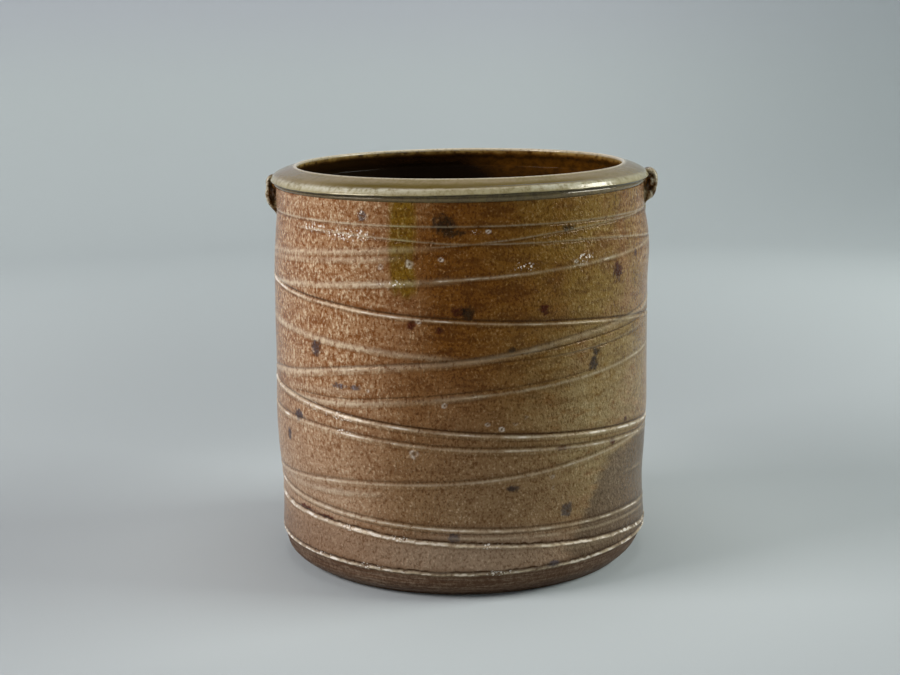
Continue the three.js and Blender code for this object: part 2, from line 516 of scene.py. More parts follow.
@dataclass(frozen=True)
class Pass:
    """What one pass of a tool does to soft clay, in millimetres.

    From one side come a dark bite, a short face out to the burr's pale crest, a worn band and a slight
    drop. The bite is dark glaze and painted shade, a thin line of painted shade marks the drop, and the
    crest's pale ash is partly a painted highlight. Reach sets the bite's width, glow the crest's width and
    pale its brightness. Torn makes the line ragged, and a side of -1 turns the mark over.
    """

    bite: float
    burr: float
    glow: float
    band: float
    torn: float = 0.0
    pale: float = 0.5
    drop: float = 0.06
    reach: float = 1.2
    side: float = 1.0

    def profile(self) -> Points:
        """Works out the mark's cross-section.

        Returns:
            Pairs of (distance from the crest towards the bite, how far the clay stands out).
        """
        return (
            (-self.band - 1.1, 0.0),
            (-self.band - 0.65, -self.drop),
            (-self.band - 0.35, 0.25 * self.burr),
            (-0.3 * self.band - 0.5, 0.8 * self.burr),
            (-0.3 * self.reach, self.burr),
            (0.37 * self.reach, -0.85 * self.bite),
            (0.75 * self.reach, -self.bite),
            (1.4 * self.reach, 0.0),
        )


class Mark(Enum):
    """The tools' marks on this wall."""

    FINE = Pass(0.24, 0.15, 0.30, 0.30, torn=0.20, pale=0.80, drop=0.02, reach=0.8, side=-1.0)
    SOFT = Pass(0.03, 0.12, 1.10, 1.20, torn=0.18, pale=0.42, drop=0.03)
    FAINT = Pass(0.05, 0.10, 0.55, 0.60, torn=0.25, pale=0.55, drop=0.03)
    PLAIN = Pass(0.24, 0.20, 0.52, 1.40, torn=0.18, pale=0.75, drop=0.03)
    BOLD = Pass(0.36, 0.28, 0.38, 0.60, torn=0.14, pale=0.88, drop=0.12)
    BROAD = Pass(0.22, 0.20, 1.15, 1.70, torn=0.15, pale=0.62, drop=0.06)
    LEDGE = Pass(0.46, 0.36, 0.54, 1.20, torn=0.12, pale=1.05, drop=0.12)
    TORN = Pass(0.55, 0.36, 0.58, 0.60, torn=0.75, pale=1.05)
    SCORE = Pass(0.30, 0.0, 0.2, 0.1, torn=0.4, pale=0.0, drop=0.0, reach=0.8)


@dataclass(frozen=True)
class CutLine:
    """One pass round the jar. Its route is the crest, as (degrees, height), and may pass a full turn."""

    mark: Mark
    route: Points
    fade: float = 14.0
    strength: float = 1.0

    WANDER = 0.45
    MARGIN = 5.0
    FULL_BITE = 0.4
    FRAYED = 0.7
    CRUMBLED = 0.8
    RAGGED = (0.15, 1.7)

    def press(self, relief: "Relief") -> None:
        """Cuts this line into the wall at each turn that it makes.

        Args:
            relief: the wall's relief.
        """
        first, last = self.route[0][0], self.route[-1][0]
        for turn in range(math.floor(first / 360.0) - 1, math.ceil(last / 360.0) + 2):
            at = relief.degrees + 360.0 * turn
            strength = self.strength * smooth_step(np.minimum(at - first, last - at), 0.0, self.fade)
            if strength.max() > 0.0:
                crest = follow(self.route, at)
                seen = crest[strength > 0.0]
                reach = (seen.min() - self.MARGIN, seen.max() + self.MARGIN)
                self._press_turn(relief, slice(*np.searchsorted(relief.heights, reach)), crest, strength)

    def _press_turn(self, relief: "Relief", rows: slice, crest: np.ndarray, strength: np.ndarray) -> None:
        """Cuts one turn.

        Args:
            relief: the wall's relief.
            rows: the rows of the relief that the line can reach.
            crest: the crest's height at each column.
            strength: how strongly the line shows at each column.
        """
        tool = self.mark.value
        fray, crumb, life = (part[rows] for part in (relief.fray, relief.crumb, relief.life))
        above = tool.side * (relief.heights[rows, None] - crest - self.WANDER * tool.torn * fray)
        behind = -tool.band
        out = follow(tool.profile(), above)
        ragged = 1.0 + tool.torn * (self.FRAYED * fray + self.CRUMBLED * crumb)
        ragged = np.clip(ragged, *self.RAGGED)
        relief.lift[rows] += out * strength * np.where(out > 0.0, ragged * (0.8 + 0.35 * life), 1.0)
        depth = min(1.0, tool.bite / self.FULL_BITE)
        # The bite is darkened: dark glaze pooled in the groove, and painted shade.
        bite = bump(above, tool.reach, 0.45 * tool.reach) * strength * ragged
        relief.keep("edge", rows, bite * depth)
        bared = bump(above, 1.7 * tool.reach, 0.8 * tool.reach) * depth
        if tool.burr > 0.0:
            bared = bared + 0.65 * bump(above, behind - 0.9, 0.45)
            worn = smooth_step(above, behind - 0.9, behind - 0.3) * (1.0 - smooth_step(above, -0.3, 0.4))
            relief.keep("band", rows, worn * strength)
            # The crest: pale ash on the burr, and partly a painted highlight on its upward face.
            pale_crest_and_highlight = bump(above, -0.1, tool.glow) * strength * tool.pale
            relief.keep("crest", rows, pale_crest_and_highlight * np.clip(0.8 + 0.5 * life, 0.1, 1.2) * ragged)
            # A thin line of painted shade under the worn band.
            relief.keep("edge", rows, 3.0 * tool.drop * bump(above, behind - 0.8, 0.3) * strength)
        relief.keep("halo", rows, bared * strength * np.clip(0.6 + 0.8 * life, 0.0, 1.0))


class Ink(Enum):
    """Tones of spots that iron and salt leave in the glaze; the frosted salt is partly painted glints."""

    VIOLET = "violet"
    RUST = "rust"
    BLUE = "blue"
    FROST_AND_GLINT = "frost"


@dataclass(frozen=True)
class Spot:
    """A ragged spot of iron or frosted salt, which is partly a painted glint: its place, width and height.
    """

    degrees: float
    height: float
    wide: float
    tall: float
    ink: Ink

    EDGE = (0.6, 1.2)
    CRUMBLED = 0.4
    FRAYED = 0.3

    def stain(self, relief: "Relief") -> None:
        """Adds the spot to the wall's stains.

        Args:
            relief: the wall's relief.
        """
        across = relief.across(self.degrees) / (0.5 * self.wide)
        up = (relief.heights[:, None] - self.height) / (0.5 * self.tall)
        reach = np.hypot(across, up) + self.CRUMBLED * relief.crumb + self.FRAYED * relief.fray
        relief.keep(self.ink.value, slice(None), 1.0 - smooth_step(reach, *self.EDGE))


@dataclass(frozen=True)
class Crater:
    """A small pit where a bubble burst, with a pale broken rim."""

    degrees: float
    height: float
    radius: float

    PIT_DEPTH = 0.3
    PIT_REACH = 0.5
    RIM_HEIGHT = 0.14
    RIM_PLACE = 0.75
    RIM_REACH = 0.3

    def burst(self, relief: "Relief") -> None:
        """Presses the pit and lifts its rim.

        Args:
            relief: the wall's relief.
        """
        reach = np.hypot(relief.across(self.degrees), relief.heights[:, None] - self.height) / self.radius
        broken = np.clip(0.6 + 0.9 * relief.fray + 0.5 * relief.crumb, 0.0, 1.0)
        rim = bump(reach - 0.3 * relief.crumb, self.RIM_PLACE, self.RIM_REACH) * broken
        pit = bump(reach, 0.0, self.PIT_REACH)
        relief.lift += self.RIM_HEIGHT * rim - self.PIT_DEPTH * pit
        relief.keep("ring", slice(None), rim)
        # The pit is darkened with the cuts' dark tone.
        relief.keep("edge", slice(None), 0.8 * pit)


class Relief:
    """The jar's outside over height and degrees: how far the clay stands out, and what marks it."""

    # The noises' seed, how far they move the clay or a border, and the sizes of their lumps.
    SEED = 11
    SWELL = 0.10
    SWELL_CELL = (26.0, 26.0, 12.0)
    TURNING = 0.05
    TURNING_CELL = (40.0, 40.0, 0.9)
    FRAY_CELL = (1.8, 1.8, 6.0)
    CRUMB_CELL = 0.9
    LIFE_CELL = (7.0, 7.0, 14.0)
    DRIFT = 8.0
    DRIFT_CELL = 30.0
    # The most that clay can stand out from the wall, in millimetres.
    LIMIT = 0.36
    DRAWN = ("edge", "halo", "band", "crest", "ring", "violet", "rust", "blue", "frost")
    # The zones of glaze, by degrees and by height. A pair is where a border starts and ends, but the pairs
    # of the tan zone are its middle and its reach.
    OLIVE = (
        (-180, 0.55), (-120, 0.2), (-60, 0), (-8, 0), (18, 0.35), (42, 0.9), (56, 1), (76, 0.45),
        (110, 0.5), (180, 0.55),
    )
    DUSK = (
        (-180, 0.4), (-120, 0.15), (-45, 0), (-22, 0.45), (-4, 1), (28, 1), (48, 0.55), (72, 0.15),
        (130, 0.4), (180, 0.4),
    )
    DUSTY = (28.0, 111.0)
    MAUVE = (22.0, 34.0)
    TAN_PLACE = (48.0, 27.0)
    TAN_HEIGHT = (74.0, 40.0)
    PATCH_SIDE = (28.0, 47.0)
    PATCH_SLOPE = 0.6
    PATCH_FOOT = 30.0
    PATCH_BASE = (6.0, 18.0)
    PATCH_TOP = (52.0, 68.0)
    PATCH_END = (80.0, 130.0)
    DRIP_PLACE = -16.6
    DRIP_WIDTH = (2.6, 5.0)
    DRIP_BASE = (128.5, 134.0)
    DRIP_STRAIGHT = (150.0, 165.0)

    def __init__(self, shape: JarShape, heights: np.ndarray) -> None:
        """Lays out the field and its slow unevenness.

        Args:
            shape: the jar's sizes.
            heights: the height of each row, rising.
        """
        self.heights = heights
        self.degrees = column_degrees()
        self.radius = shape.outer_radius(heights, self.degrees)
        self.points = around(self.radius, heights[:, None], self.degrees)
        self.fray = self._grain(0, self.FRAY_CELL)
        self.crumb = self._grain(1, self.CRUMB_CELL)
        self.life = self._grain(5, self.LIFE_CELL)
        size = self.points.shape[:2]
        self.drawn = {name: np.zeros(size) for name in self.DRAWN}
        bevel = 1.0 - smooth_step(heights, shape.shoulder_height - 1.3, shape.shoulder_height + 0.2)
        self.bevel = np.broadcast_to(bevel[:, None], size)
        self.lift = self.SWELL * self._grain(3, self.SWELL_CELL)
        self.lift += self.TURNING * self._grain(2, self.TURNING_CELL) * (0.35 + 1.3 * self.bevel)

    def _grain(self, number: int, cell: Union[float, Triple]) -> np.ndarray:
        """One of the field's own noises."""
        return Grain(self.SEED + number).at(self.points, cell)

    def keep(self, name: str, rows: slice, values: np.ndarray) -> None:
        """Keeps the stronger of a mark's old and new values."""
        self.drawn[name][rows] = np.maximum(self.drawn[name][rows], values)

    def across(self, degrees: float) -> np.ndarray:
        """The distance along the surface from a place, in millimetres."""
        turn = (self.degrees - degrees + 180.0) % 360.0 - 180.0
        return self.radius * np.radians(turn)

    def surface(self) -> np.ndarray:
        """The points of the marked surface, in millimetres."""
        lift = np.where(self.lift > 0.0, self.LIMIT * np.tanh(self.lift / self.LIMIT), self.lift)
        return around(self.radius + lift, self.heights[:, None], self.degrees)

    def marks(self) -> dict[str, np.ndarray]:
        """The fields that the glaze reads."""
        return {**self.drawn, "bevel": self.bevel, **self._zones()}

    def _zones(self) -> dict[str, np.ndarray]:
        """Finds where the fire left the wall unlike the red ground, and where glaze ran.

        Returns:
            How strongly each zone shows, from 0 to 1, by its name.
        """
        rise = self.heights[:, None]
        drift = self.DRIFT * self._grain(4, self.DRIFT_CELL)
        turn = self.degrees[None, :] + drift
        side = self.degrees - self.PATCH_SLOPE * (rise - self.PATCH_FOOT) + 0.8 * drift
        patch = smooth_step(side, *self.PATCH_SIDE)
        patch = patch * (1.0 - smooth_step(rise + 0.4 * drift, *self.PATCH_TOP))
        patch = patch * smooth_step(rise, *self.PATCH_BASE)
        swerve = 0.25 * drift * (1.0 - smooth_step(rise, *self.DRIP_STRAIGHT))
        beside = np.abs(self.degrees - self.DRIP_PLACE + swerve)
        drip = 1.0 - smooth_step(beside + 0.9 * self.fray + 0.6 * self.life, *self.DRIP_WIDTH)
        found = {
            "olive": follow(self.OLIVE, turn),
            "dusk": follow(self.DUSK, turn),
            "dusty": 1.0 - smooth_step(rise + drift, *self.DUSTY),
            "mauve": 1.0 - smooth_step(rise + 0.4 * drift, *self.MAUVE),
            "tan": bump(turn, *self.TAN_PLACE) * bump(rise + drift, *self.TAN_HEIGHT),
            "patch": patch * (1.0 - smooth_step(self.degrees + 1.5 * drift, *self.PATCH_END)),
            "drip": drip * smooth_step(rise + 2.5 * self.fray, *self.DRIP_BASE),
        }
        return {name: np.broadcast_to(value, self.lift.shape) for name, value in found.items()}


@dataclass(frozen=True)
class Decoration:
    """Every line, spot and pit on the wall. What the photo doesn't show goes on in the same way behind.

    A spot is (degrees, height, width, height of the spot), and a crater is (degrees, height, radius).
    """

    lines: tuple[CutLine, ...] = (
        CutLine(Mark.FINE, ((-200, 159.8), (-72, 159.6), (0, 159.1), (70, 158.7), (165, 159.5))),
        CutLine(Mark.FINE, ((-62, 155.6), (-40, 155.3), (-20, 153.8), (0, 152), (20, 151.5), (40, 151),
            (60, 149), (75, 147), (140, 141)), strength=0.9),
        CutLine(Mark.SOFT, ((190, 134), (288, 143.8), (300, 144.8), (320, 147.3), (340, 149.6),
            (360, 151.2)), fade=20),
        CutLine(Mark.FINE, ((-15, 150.2), (0, 151.5), (15, 153.3), (30, 155.2), (50, 157), (70, 158),
            (96, 158.6)), strength=0.9),
        CutLine(Mark.SOFT, ((-90, 139.5), (-72, 141), (-50, 143), (-30, 145), (-12, 147)), strength=0.7),
        CutLine(Mark.SOFT, ((-100, 127.5), (-72, 130), (-60, 131.2), (-40, 133.5), (-20, 135.8), (4, 138)),
            strength=1.3),
        CutLine(Mark.FAINT, ((-20, 135.8), (0, 137.8), (20, 139.4), (40, 141.2), (60, 143), (90, 146),
            (130, 150)), strength=1.2),
        CutLine(Mark.BOLD, ((120, 153), (210, 140), (288, 129), (300, 127.2), (320, 124.8), (340, 122.2),
            (360, 120.2), (380, 118.3), (400, 116.3), (420, 113.6), (435, 111.5), (500, 102), (570, 93))),
        CutLine(Mark.SOFT, ((-120, 118), (-72, 112.3), (-60, 111.4), (-40, 109), (-20, 106.8), (4, 104.2)),
            strength=1.1),
        CutLine(Mark.BROAD, ((-165, 76), (-85, 88), (-72, 90.3), (-60, 92.2), (-50, 94.4), (-40, 97),
            (-20, 100.8), (0, 103.4), (10, 105.2), (20, 107.3), (30, 109.8), (40, 111.6), (60, 114.5),
            (100, 121), (200, 135)), strength=0.9),
        CutLine(Mark.SCORE, ((-6, 103.6), (0, 103.6), (20, 105.6), (40, 108.3), (60, 110.4), (90, 113.6))),
        CutLine(Mark.SCORE, ((-2, 101.6), (30, 103.4), (60, 105.8), (80, 107.4)), strength=0.6),
        CutLine(Mark.FINE, ((22, 103), (45, 105.6), (60, 107.6), (84, 109.8)), strength=0.6),
        CutLine(Mark.SOFT, ((-82, 81.8), (-50, 82.5), (-40, 83), (-20, 85.8), (0, 88.6), (12, 90)),
            strength=1.1),
        CutLine(Mark.FAINT, ((-12, 86.9), (0, 88.6), (20, 91), (40, 93.7), (60, 96.5), (72, 97.5),
            (140, 106), (210, 118), (250, 125)), strength=1.2),
        CutLine(Mark.SCORE, ((-64, 83.6), (-50, 83.9), (-38, 84.4), (-20, 87), (0, 89.8), (22, 92.4),
            (50, 96.2)), strength=0.7),
        CutLine(Mark.SOFT, ((-70, 85.6), (-60, 86.5), (-40, 88), (-26, 89.6)), strength=0.5),
        CutLine(Mark.LEDGE, ((540, 97), (600, 89), (648, 82.6), (660, 81.2), (670, 79.8), (680, 78.2),
            (700, 75.5), (720, 73), (740, 70.6), (760, 68.3), (780, 66), (800, 63.4), (870, 55),
            (940, 46.5)), fade=24),
        CutLine(Mark.PLAIN, ((190, 78.6), (240, 74.1), (288, 71.6), (315, 70.9), (330, 69.6), (360, 66.4),
            (380, 64.8), (400, 63), (420, 61.4), (450, 57.6), (540, 45.6), (600, 36.6), (645, 30.6))),
        CutLine(Mark.PLAIN, ((-128, 39.6), (-80, 43.6), (-60, 45.6), (-40, 48.4), (-20, 50.4), (0, 52),
            (20, 54.2), (40, 57.4), (55, 59.3), (75, 61.4), (140, 69.6), (210, 76.6), (278, 81.4)),
            strength=0.75),
        CutLine(Mark.SOFT, ((-72, 43.6), (-55, 42.6), (-36, 44), (-20, 46.6)), strength=0.8),
        CutLine(Mark.PLAIN, ((900, 50.2), (940, 45.7), (1008, 37.5), (1020, 36.2), (1040, 34.4),
            (1060, 32.7), (1080, 31.2), (1100, 29.8), (1120, 28.9), (1140, 28), (1155, 26.2), (1240, 21.2),
            (1300, 18.2)), fade=30),
        CutLine(Mark.SCORE, ((-70, 34.5), (-40, 32), (0, 28.8), (30, 27.4), (60, 25.8)), strength=0.7),
        CutLine(Mark.FAINT, ((-10, 28.4), (20, 26.8), (40, 25.6), (60, 24.6), (75, 23), (110, 20)),
            strength=0.8),
        CutLine(Mark.TORN, ((-115, 35), (-75, 30), (-50, 28.9), (-36, 28.1), (-20, 26.3), (0, 24.7),
            (10, 23.8), (20, 22.5), (40, 20.2), (60, 18), (75, 15.9), (100, 14.2))),
        CutLine(Mark.SOFT, ((24, 20), (36, 19.2), (52, 18.6), (62, 17.4)), strength=0.7),
        CutLine(Mark.FAINT, ((52, 46.4), (64, 44.8), (80, 43.6)), strength=0.8),
        CutLine(Mark.TORN, ((-260, 12.6), (-180, 12.3), (-72, 13), (-30, 12.5), (0, 12), (30, 12.3),
            (60, 13.1), (100, 12.6), (180, 12.3), (260, 12.6))),
    )
    spots: tuple[tuple[Ink, Sequence[tuple[float, ...]]], ...] = (
        (Ink.VIOLET, (
            (-4, 160, 10, 8), (-2, 156.5, 13, 3.4), (33, 156.5, 7, 2.8), (41, 98.5, 5, 6.5),
            (42, 103, 4.5, 3.4), (-47, 105.5, 6, 7), (-57, 73.4, 8, 5), (14.5, 48.5, 5, 3.4),
            (-64, 63, 4, 5.5), (14, 108, 3.4, 2.4), (2, 124, 6, 5), (-130, 120, 7, 6), (150, 96, 5, 7),
            (-158, 62, 5, 5), (172, 141, 8, 5), (-118, 84, 4, 6),
        )),
        (Ink.RUST, (
            (52.5, 136, 6, 8), (-1, 124.5, 6, 5), (-6, 117, 3.5, 3), (-14, 119, 4, 5), (50, 61.4, 4, 3.4),
            (63, 141.5, 3, 3), (24, 124, 5, 5), (57, 69.5, 3, 2.4), (30, 64, 9, 2), (-56, 31.2, 14, 2.6),
            (-46, 30.4, 12, 2.4), (118, 58, 6, 4), (-105, 148, 4, 5), (98, 132, 3.4, 4), (-146, 154, 5, 3),
            (160, 116, 4, 4),
        )),
        (Ink.BLUE, (
            (-29, 163, 4.5, 4), (31.5, 36, 6, 6.5), (-3, 28, 4.5, 3.8), (27, 13.4, 6, 3.6),
            (-38, 90.5, 7, 2.6), (-32, 90.8, 5, 2.4), (-172, 33, 5, 4), (136, 30, 6, 5),
        )),
        # Frosted salt and painted glints: most of these sit on the crests and the upper wall on the left.
        (Ink.FROST_AND_GLINT, (
            (-34, 154.6, 26, 5), (-29, 163.4, 5, 3), (-20, 135.9, 14, 3), (38, 143.5, 9, 4.5),
            (18, 142, 8, 3), (-47, 156, 16, 4), (-50, 79.6, 22, 3), (-36, 77.2, 20, 3),
            (-38, 70.8, 16, 2.4), (-34, 28.2, 16, 2.8), (-20, 26.6, 12, 2.4), (-46, 13.1, 16, 2.6),
            (-30, 12.8, 18, 2.8), (8, 24.1, 9, 2.2), (10, 12.3, 12, 2.2), (4, 157, 5, 2),
        )),
    )
    craters: Sequence[Triple] = (
        (-14.5, 144, 1.5), (-14, 64.4, 1.7), (7, 77.2, 0.9), (11, 74.8, 1.0), (15, 76.8, 0.8),
        (18, 79.2, 0.8), (-28, 90, 0.9), (-23, 142.5, 1.1), (-5.5, 146, 0.9), (8, 157, 0.8),
        (-12, 120.6, 0.9), (-5, 85.4, 1.0), (26.5, 51.8, 0.9), (27, 47, 0.8), (35, 142.5, 0.8),
        (-29.5, 162, 1.0), (140, 80, 1.3), (-140, 96, 1.2), (165, 52, 1.0), (-98, 66, 1.1), (112, 110, 1.0),
    )

    def press(self, relief: Relief) -> None:
        """Marks the relief with all of it.

        Args:
            relief: the wall's relief.
        """
        for line in self.lines:
            line.press(relief)
        for ink, places in self.spots:
            for place in places:
                Spot(*place, ink).stain(relief)
        for place in self.craters:
            Crater(*place).burst(relief)


@dataclass(frozen=True)
class Tones:
    """One stretch of glaze: thin between the beads, common, thick on the beads, and pale on a crest.

    The crest tone is pale ash, and partly a painted highlight.
    """

    thin: Colour
    common: Colour
    thick: Colour
    crest: Colour


class Stretch(Enum):
    """The stretches of the wall that the fire left unlike each other."""

    RED = Tones((0.18, 0.054, 0.008), (0.35, 0.186, 0.088), (0.63, 0.465, 0.295), (0.68, 0.56, 0.4))
    DUSK = Tones((0.054, 0.012, 0), (0.134, 0.044, 0.003), (0.27, 0.138, 0.048), (0.28, 0.215, 0.135))
    OLIVE = Tones((0.074, 0.029, 0.001), (0.174, 0.097, 0.014), (0.285, 0.19, 0.058), (0.3, 0.255, 0.17))
    DUST = Tones((0.215, 0.112, 0.054), (0.375, 0.242, 0.147), (0.53, 0.392, 0.262), (0.56, 0.475, 0.355))
    DIM_DUST = Tones((0.094, 0.037, 0.011), (0.218, 0.13, 0.063), (0.405, 0.286, 0.174), (0.37, 0.3, 0.205))
    TAN = Tones((0.13, 0.078, 0.024), (0.255, 0.186, 0.088), (0.345, 0.265, 0.142), (0.35, 0.3, 0.215))
    MAUVE = Tones((0.13, 0.064, 0.03), (0.232, 0.14, 0.084), (0.32, 0.215, 0.135), (0.47, 0.39, 0.28))
    DIM_MAUVE = Tones((0.135, 0.078, 0.044), (0.262, 0.18, 0.116), (0.39, 0.29, 0.195), (0.45, 0.365, 0.24))
    PATCH = Tones((0.058, 0.036, 0.02), (0.112, 0.076, 0.046), (0.195, 0.142, 0.092), (0.3, 0.235, 0.15))
    DRIP = Tones((0.074, 0.028, 0), (0.15, 0.074, 0.001), (0.255, 0.168, 0.036), (0.4, 0.36, 0.2))


@dataclass(frozen=True)
class Finish:
    """A finish painted with nodes. Its scales are in lumps per metre, its dimples in millimetres."""

    def material(self, name: str) -> bpy.types.Material:
        """Builds the material.

        Args:
            name: the material's name.

        Returns:
            The material.
        """
        shader = Shader(name)
        self.paint(shader)
        return shader.material

    def paint(self, shader: Shader) -> None:
        """Paints the finish. Each kind of finish does this in its own way."""
        raise NotImplementedError


@dataclass(frozen=True)
class WallGlaze(Finish):
    """Salt and ash glaze over iron-red clay: pale beads, dark gaps, smooth bands on the cuts and spots.

    On the cuts, light and shade are painted too: pale crests and glints as painted highlights, and
    painted shade in the grooves and under the bands.
    """

    ash: Colour = (0.26, 0.195, 0.11)
    dim_ash: Colour = (0.11, 0.066, 0.022)
    dark_glaze_and_shade: Colour = (0.036, 0.01, 0)
    violet: Colour = (0.2, 0.21, 0.38)
    # Dark glaze pooled in the cuts, also painted shade in the grooves and under the bands.
    rust: Colour = (0.26, 0.08, 0.05)
    blue: Colour = (0.36, 0.42, 0.7)
    # Pale frosted salt, also used for the painted glints on the crests.
    frost: Colour = (0.82, 0.74, 0.64)
    clay: Colour = (0.072, 0.034, 0.018)
    dry_clay: Colour = (0.235, 0.165, 0.11)
    cloud_scale: float = 55.0
    flame_scale: float = 95.0
    turned_scale: float = 130.0
    smear_scale: float = 150.0
    skin_scale: float = 680.0
    frost_and_glint_scale: float = 900.0
    fine_scale: float = 1100.0
    bead_height: float = 0.4
    index: float = 1.3
    tint: tuple[float, ...] = (1.0, 0.74, 0.44, 1.0)

    def paint(self, shader: Shader) -> None:
        """Paints the glaze.

        Args:
            shader: the material's nodes.
        """
        band, bevel, crest, dusty, dusk, olive = (
            shader.mark(key) for key in ("band", "bevel", "crest", "dusty", "dusk", "olive")
        )
        cloud = shader.noise(self.cloud_scale, 3.0)
        smear = shader.noise(self.smear_scale, 3.0, (1.0, 1.0, 2.6))
        skin = shader.noise(self.skin_scale, 2.0, (1.0, 1.0, 0.7), 0.8)
        fine = shader.noise(self.fine_scale, 1.0, (1.0, 1.0, 0.8))
        beads = shader.drops(self.skin_scale, 0.10, 0.58)
        calm = dusk * 0.55 | olive * 0.45 | dusty * 0.45
        depth = skin * (1.0 - calm) + (fine * 0.8 + 0.1) * calm
        depth = depth + beads * 0.07 * (1.0 - calm) + (cloud - 0.5) * 0.12 + band * 0.04
        thin, common, thick, ridge = self._tones(shader, cloud, smear)
        glazed = 1.0 - bevel
        turned = shader.noise(self.turned_scale, 4.0, (0.4, 0.4, 9.0), 0.7)
        bare = shader.ease(turned * 0.6 + skin * 0.4, 0.42, 0.72)
        colour = shader.lay(
            common,
            (shader.ease(depth, 0.50, 0.38) * glazed * (1.0 - dusk * 0.2), thin),
            (shader.ease(depth - dusk * 0.02, 0.51, 0.70) * glazed, thick),
            (bevel, shader.blend(bare, self.clay, self.dry_clay)),
            (shader.mark("halo") * 0.7, thin),
            (band * 0.15, shader.blend(dusk, self.ash, self.dim_ash)),
            # Dark glaze and painted shade in the cuts, and the darkened pits.
            (shader.mark("edge") * 0.9, self.dark_glaze_and_shade),
        )
        broken = shader.ease(skin, 0.30, 0.52)
        for ink in (Ink.VIOLET, Ink.RUST, Ink.BLUE):
            stained = shader.stain(colour, getattr(self, ink.value))
            colour = shader.blend(shader.mark(ink.value) * (0.55 + broken * 0.45), colour, stained)
        # Painted highlight: white glints on the crests, fewer where the dusk mark is strong.
        crest_glint = shader.ease(crest, 0.50, 0.90) * shader.ease(smear, 0.42, 0.58) * (1.0 - dusk * 0.6)
        specks = shader.ease(shader.drops(self.frost_and_glint_scale, 0.0, 0.62), 0.25, 0.70) * broken
        colour = shader.lay(
            colour,
            # Crest tone: pale ash, partly a painted highlight.
            (crest * shader.ease(skin, 0.26, 0.46), ridge),
            (crest_glint, self.frost),
            (shader.mark("ring") * 0.9, shader.blend(0.5, ridge, self.frost)),
            # Frosted salt spots, partly painted glints.
            (shader.mark("frost") * specks, self.frost),
        )
        peel = (skin * 1.2 + beads * 0.30) * (1.0 - crest * 0.7) * (1.0 - bevel * 0.5)
        roughness = 0.15 + dusty * 0.10 + bevel * 0.30 - crest * 0.06
        normal = shader.relief(peel, self.bead_height)
        shader.finish(colour, roughness, normal, IOR=self.index, Specular_Tint=self.tint)

    def _tones(self, shader: Shader, cloud: Wire, smear: Wire) -> list[Wire]:
        """Lays the stretches over one another.

        Args:
            shader: the material's nodes.
            cloud: broad noise, for soft borders.
            smear: flat noise, for smeared borders.

        Returns:
            The thin, common, thick and crest tones.
        """
        dusk, dusty, olive, mauve = (shader.mark(key) for key in ("dusk", "dusty", "olive", "mauve"))
        shares = {
            Stretch.DUSK: dusk,
            Stretch.OLIVE: olive * shader.ease(cloud, 0.15, 0.6),
            Stretch.DUST: dusty * (1.0 - dusk),
            Stretch.DIM_DUST: dusty * dusk,
            Stretch.TAN: shader.mark("tan") * shader.ease(smear, 0.2, 0.6),
            Stretch.MAUVE: mauve * (0.9 - olive * 0.45),
            Stretch.DIM_MAUVE: mauve * dusk * (1.0 - olive * 0.7),
            Stretch.PATCH: shader.ease(shader.mark("patch") + smear * 0.8 + cloud * 0.5, 0.95, 1.45) * 0.85,
            Stretch.DRIP: shader.mark("drip") * 0.95,
        }
        tones = list(astuple(Stretch.RED.value))
        for stretch, share in shares.items():
            tones = [shader.blend(share, tone, over) for tone, over in zip(tones, astuple(stretch.value))]
        flame = shader.ease(shader.noise(self.flame_scale, 3.0, (1.0, 1.0, 3.2), 0.6), 0.47, 0.64)
        tones[1] = shader.blend(flame * (0.55 - dusty * 0.30), tones[1], tones[0])
        return tones


@dataclass(frozen=True)
class InnerGlaze(Finish):
    """Thick glossy brown glaze inside, near black where it is deep and amber where it runs thin."""

    deep: Colour = (0.009, 0.005, 0.002)
    amber: Colour = (0.13, 0.048, 0.004)
    cloud_scale: float = 70.0
    dimple_scale: float = 120.0
    dimple_depth: float = 0.1
    index: float = 1.38

    def paint(self, shader: Shader) -> None:
        """Paints the glaze.

        Args:
            shader: the material's nodes.
        """
        cloud = shader.noise(self.cloud_scale, 3.0, (1.0, 1.0, 2.0))
        colour = shader.blend(shader.runs()[1], self.deep, self.amber)
        normal = shader.relief(shader.noise(self.dimple_scale, 2.0), self.dimple_depth)
        shader.finish(colour, 0.12 + cloud * 0.08, normal, IOR=self.index)


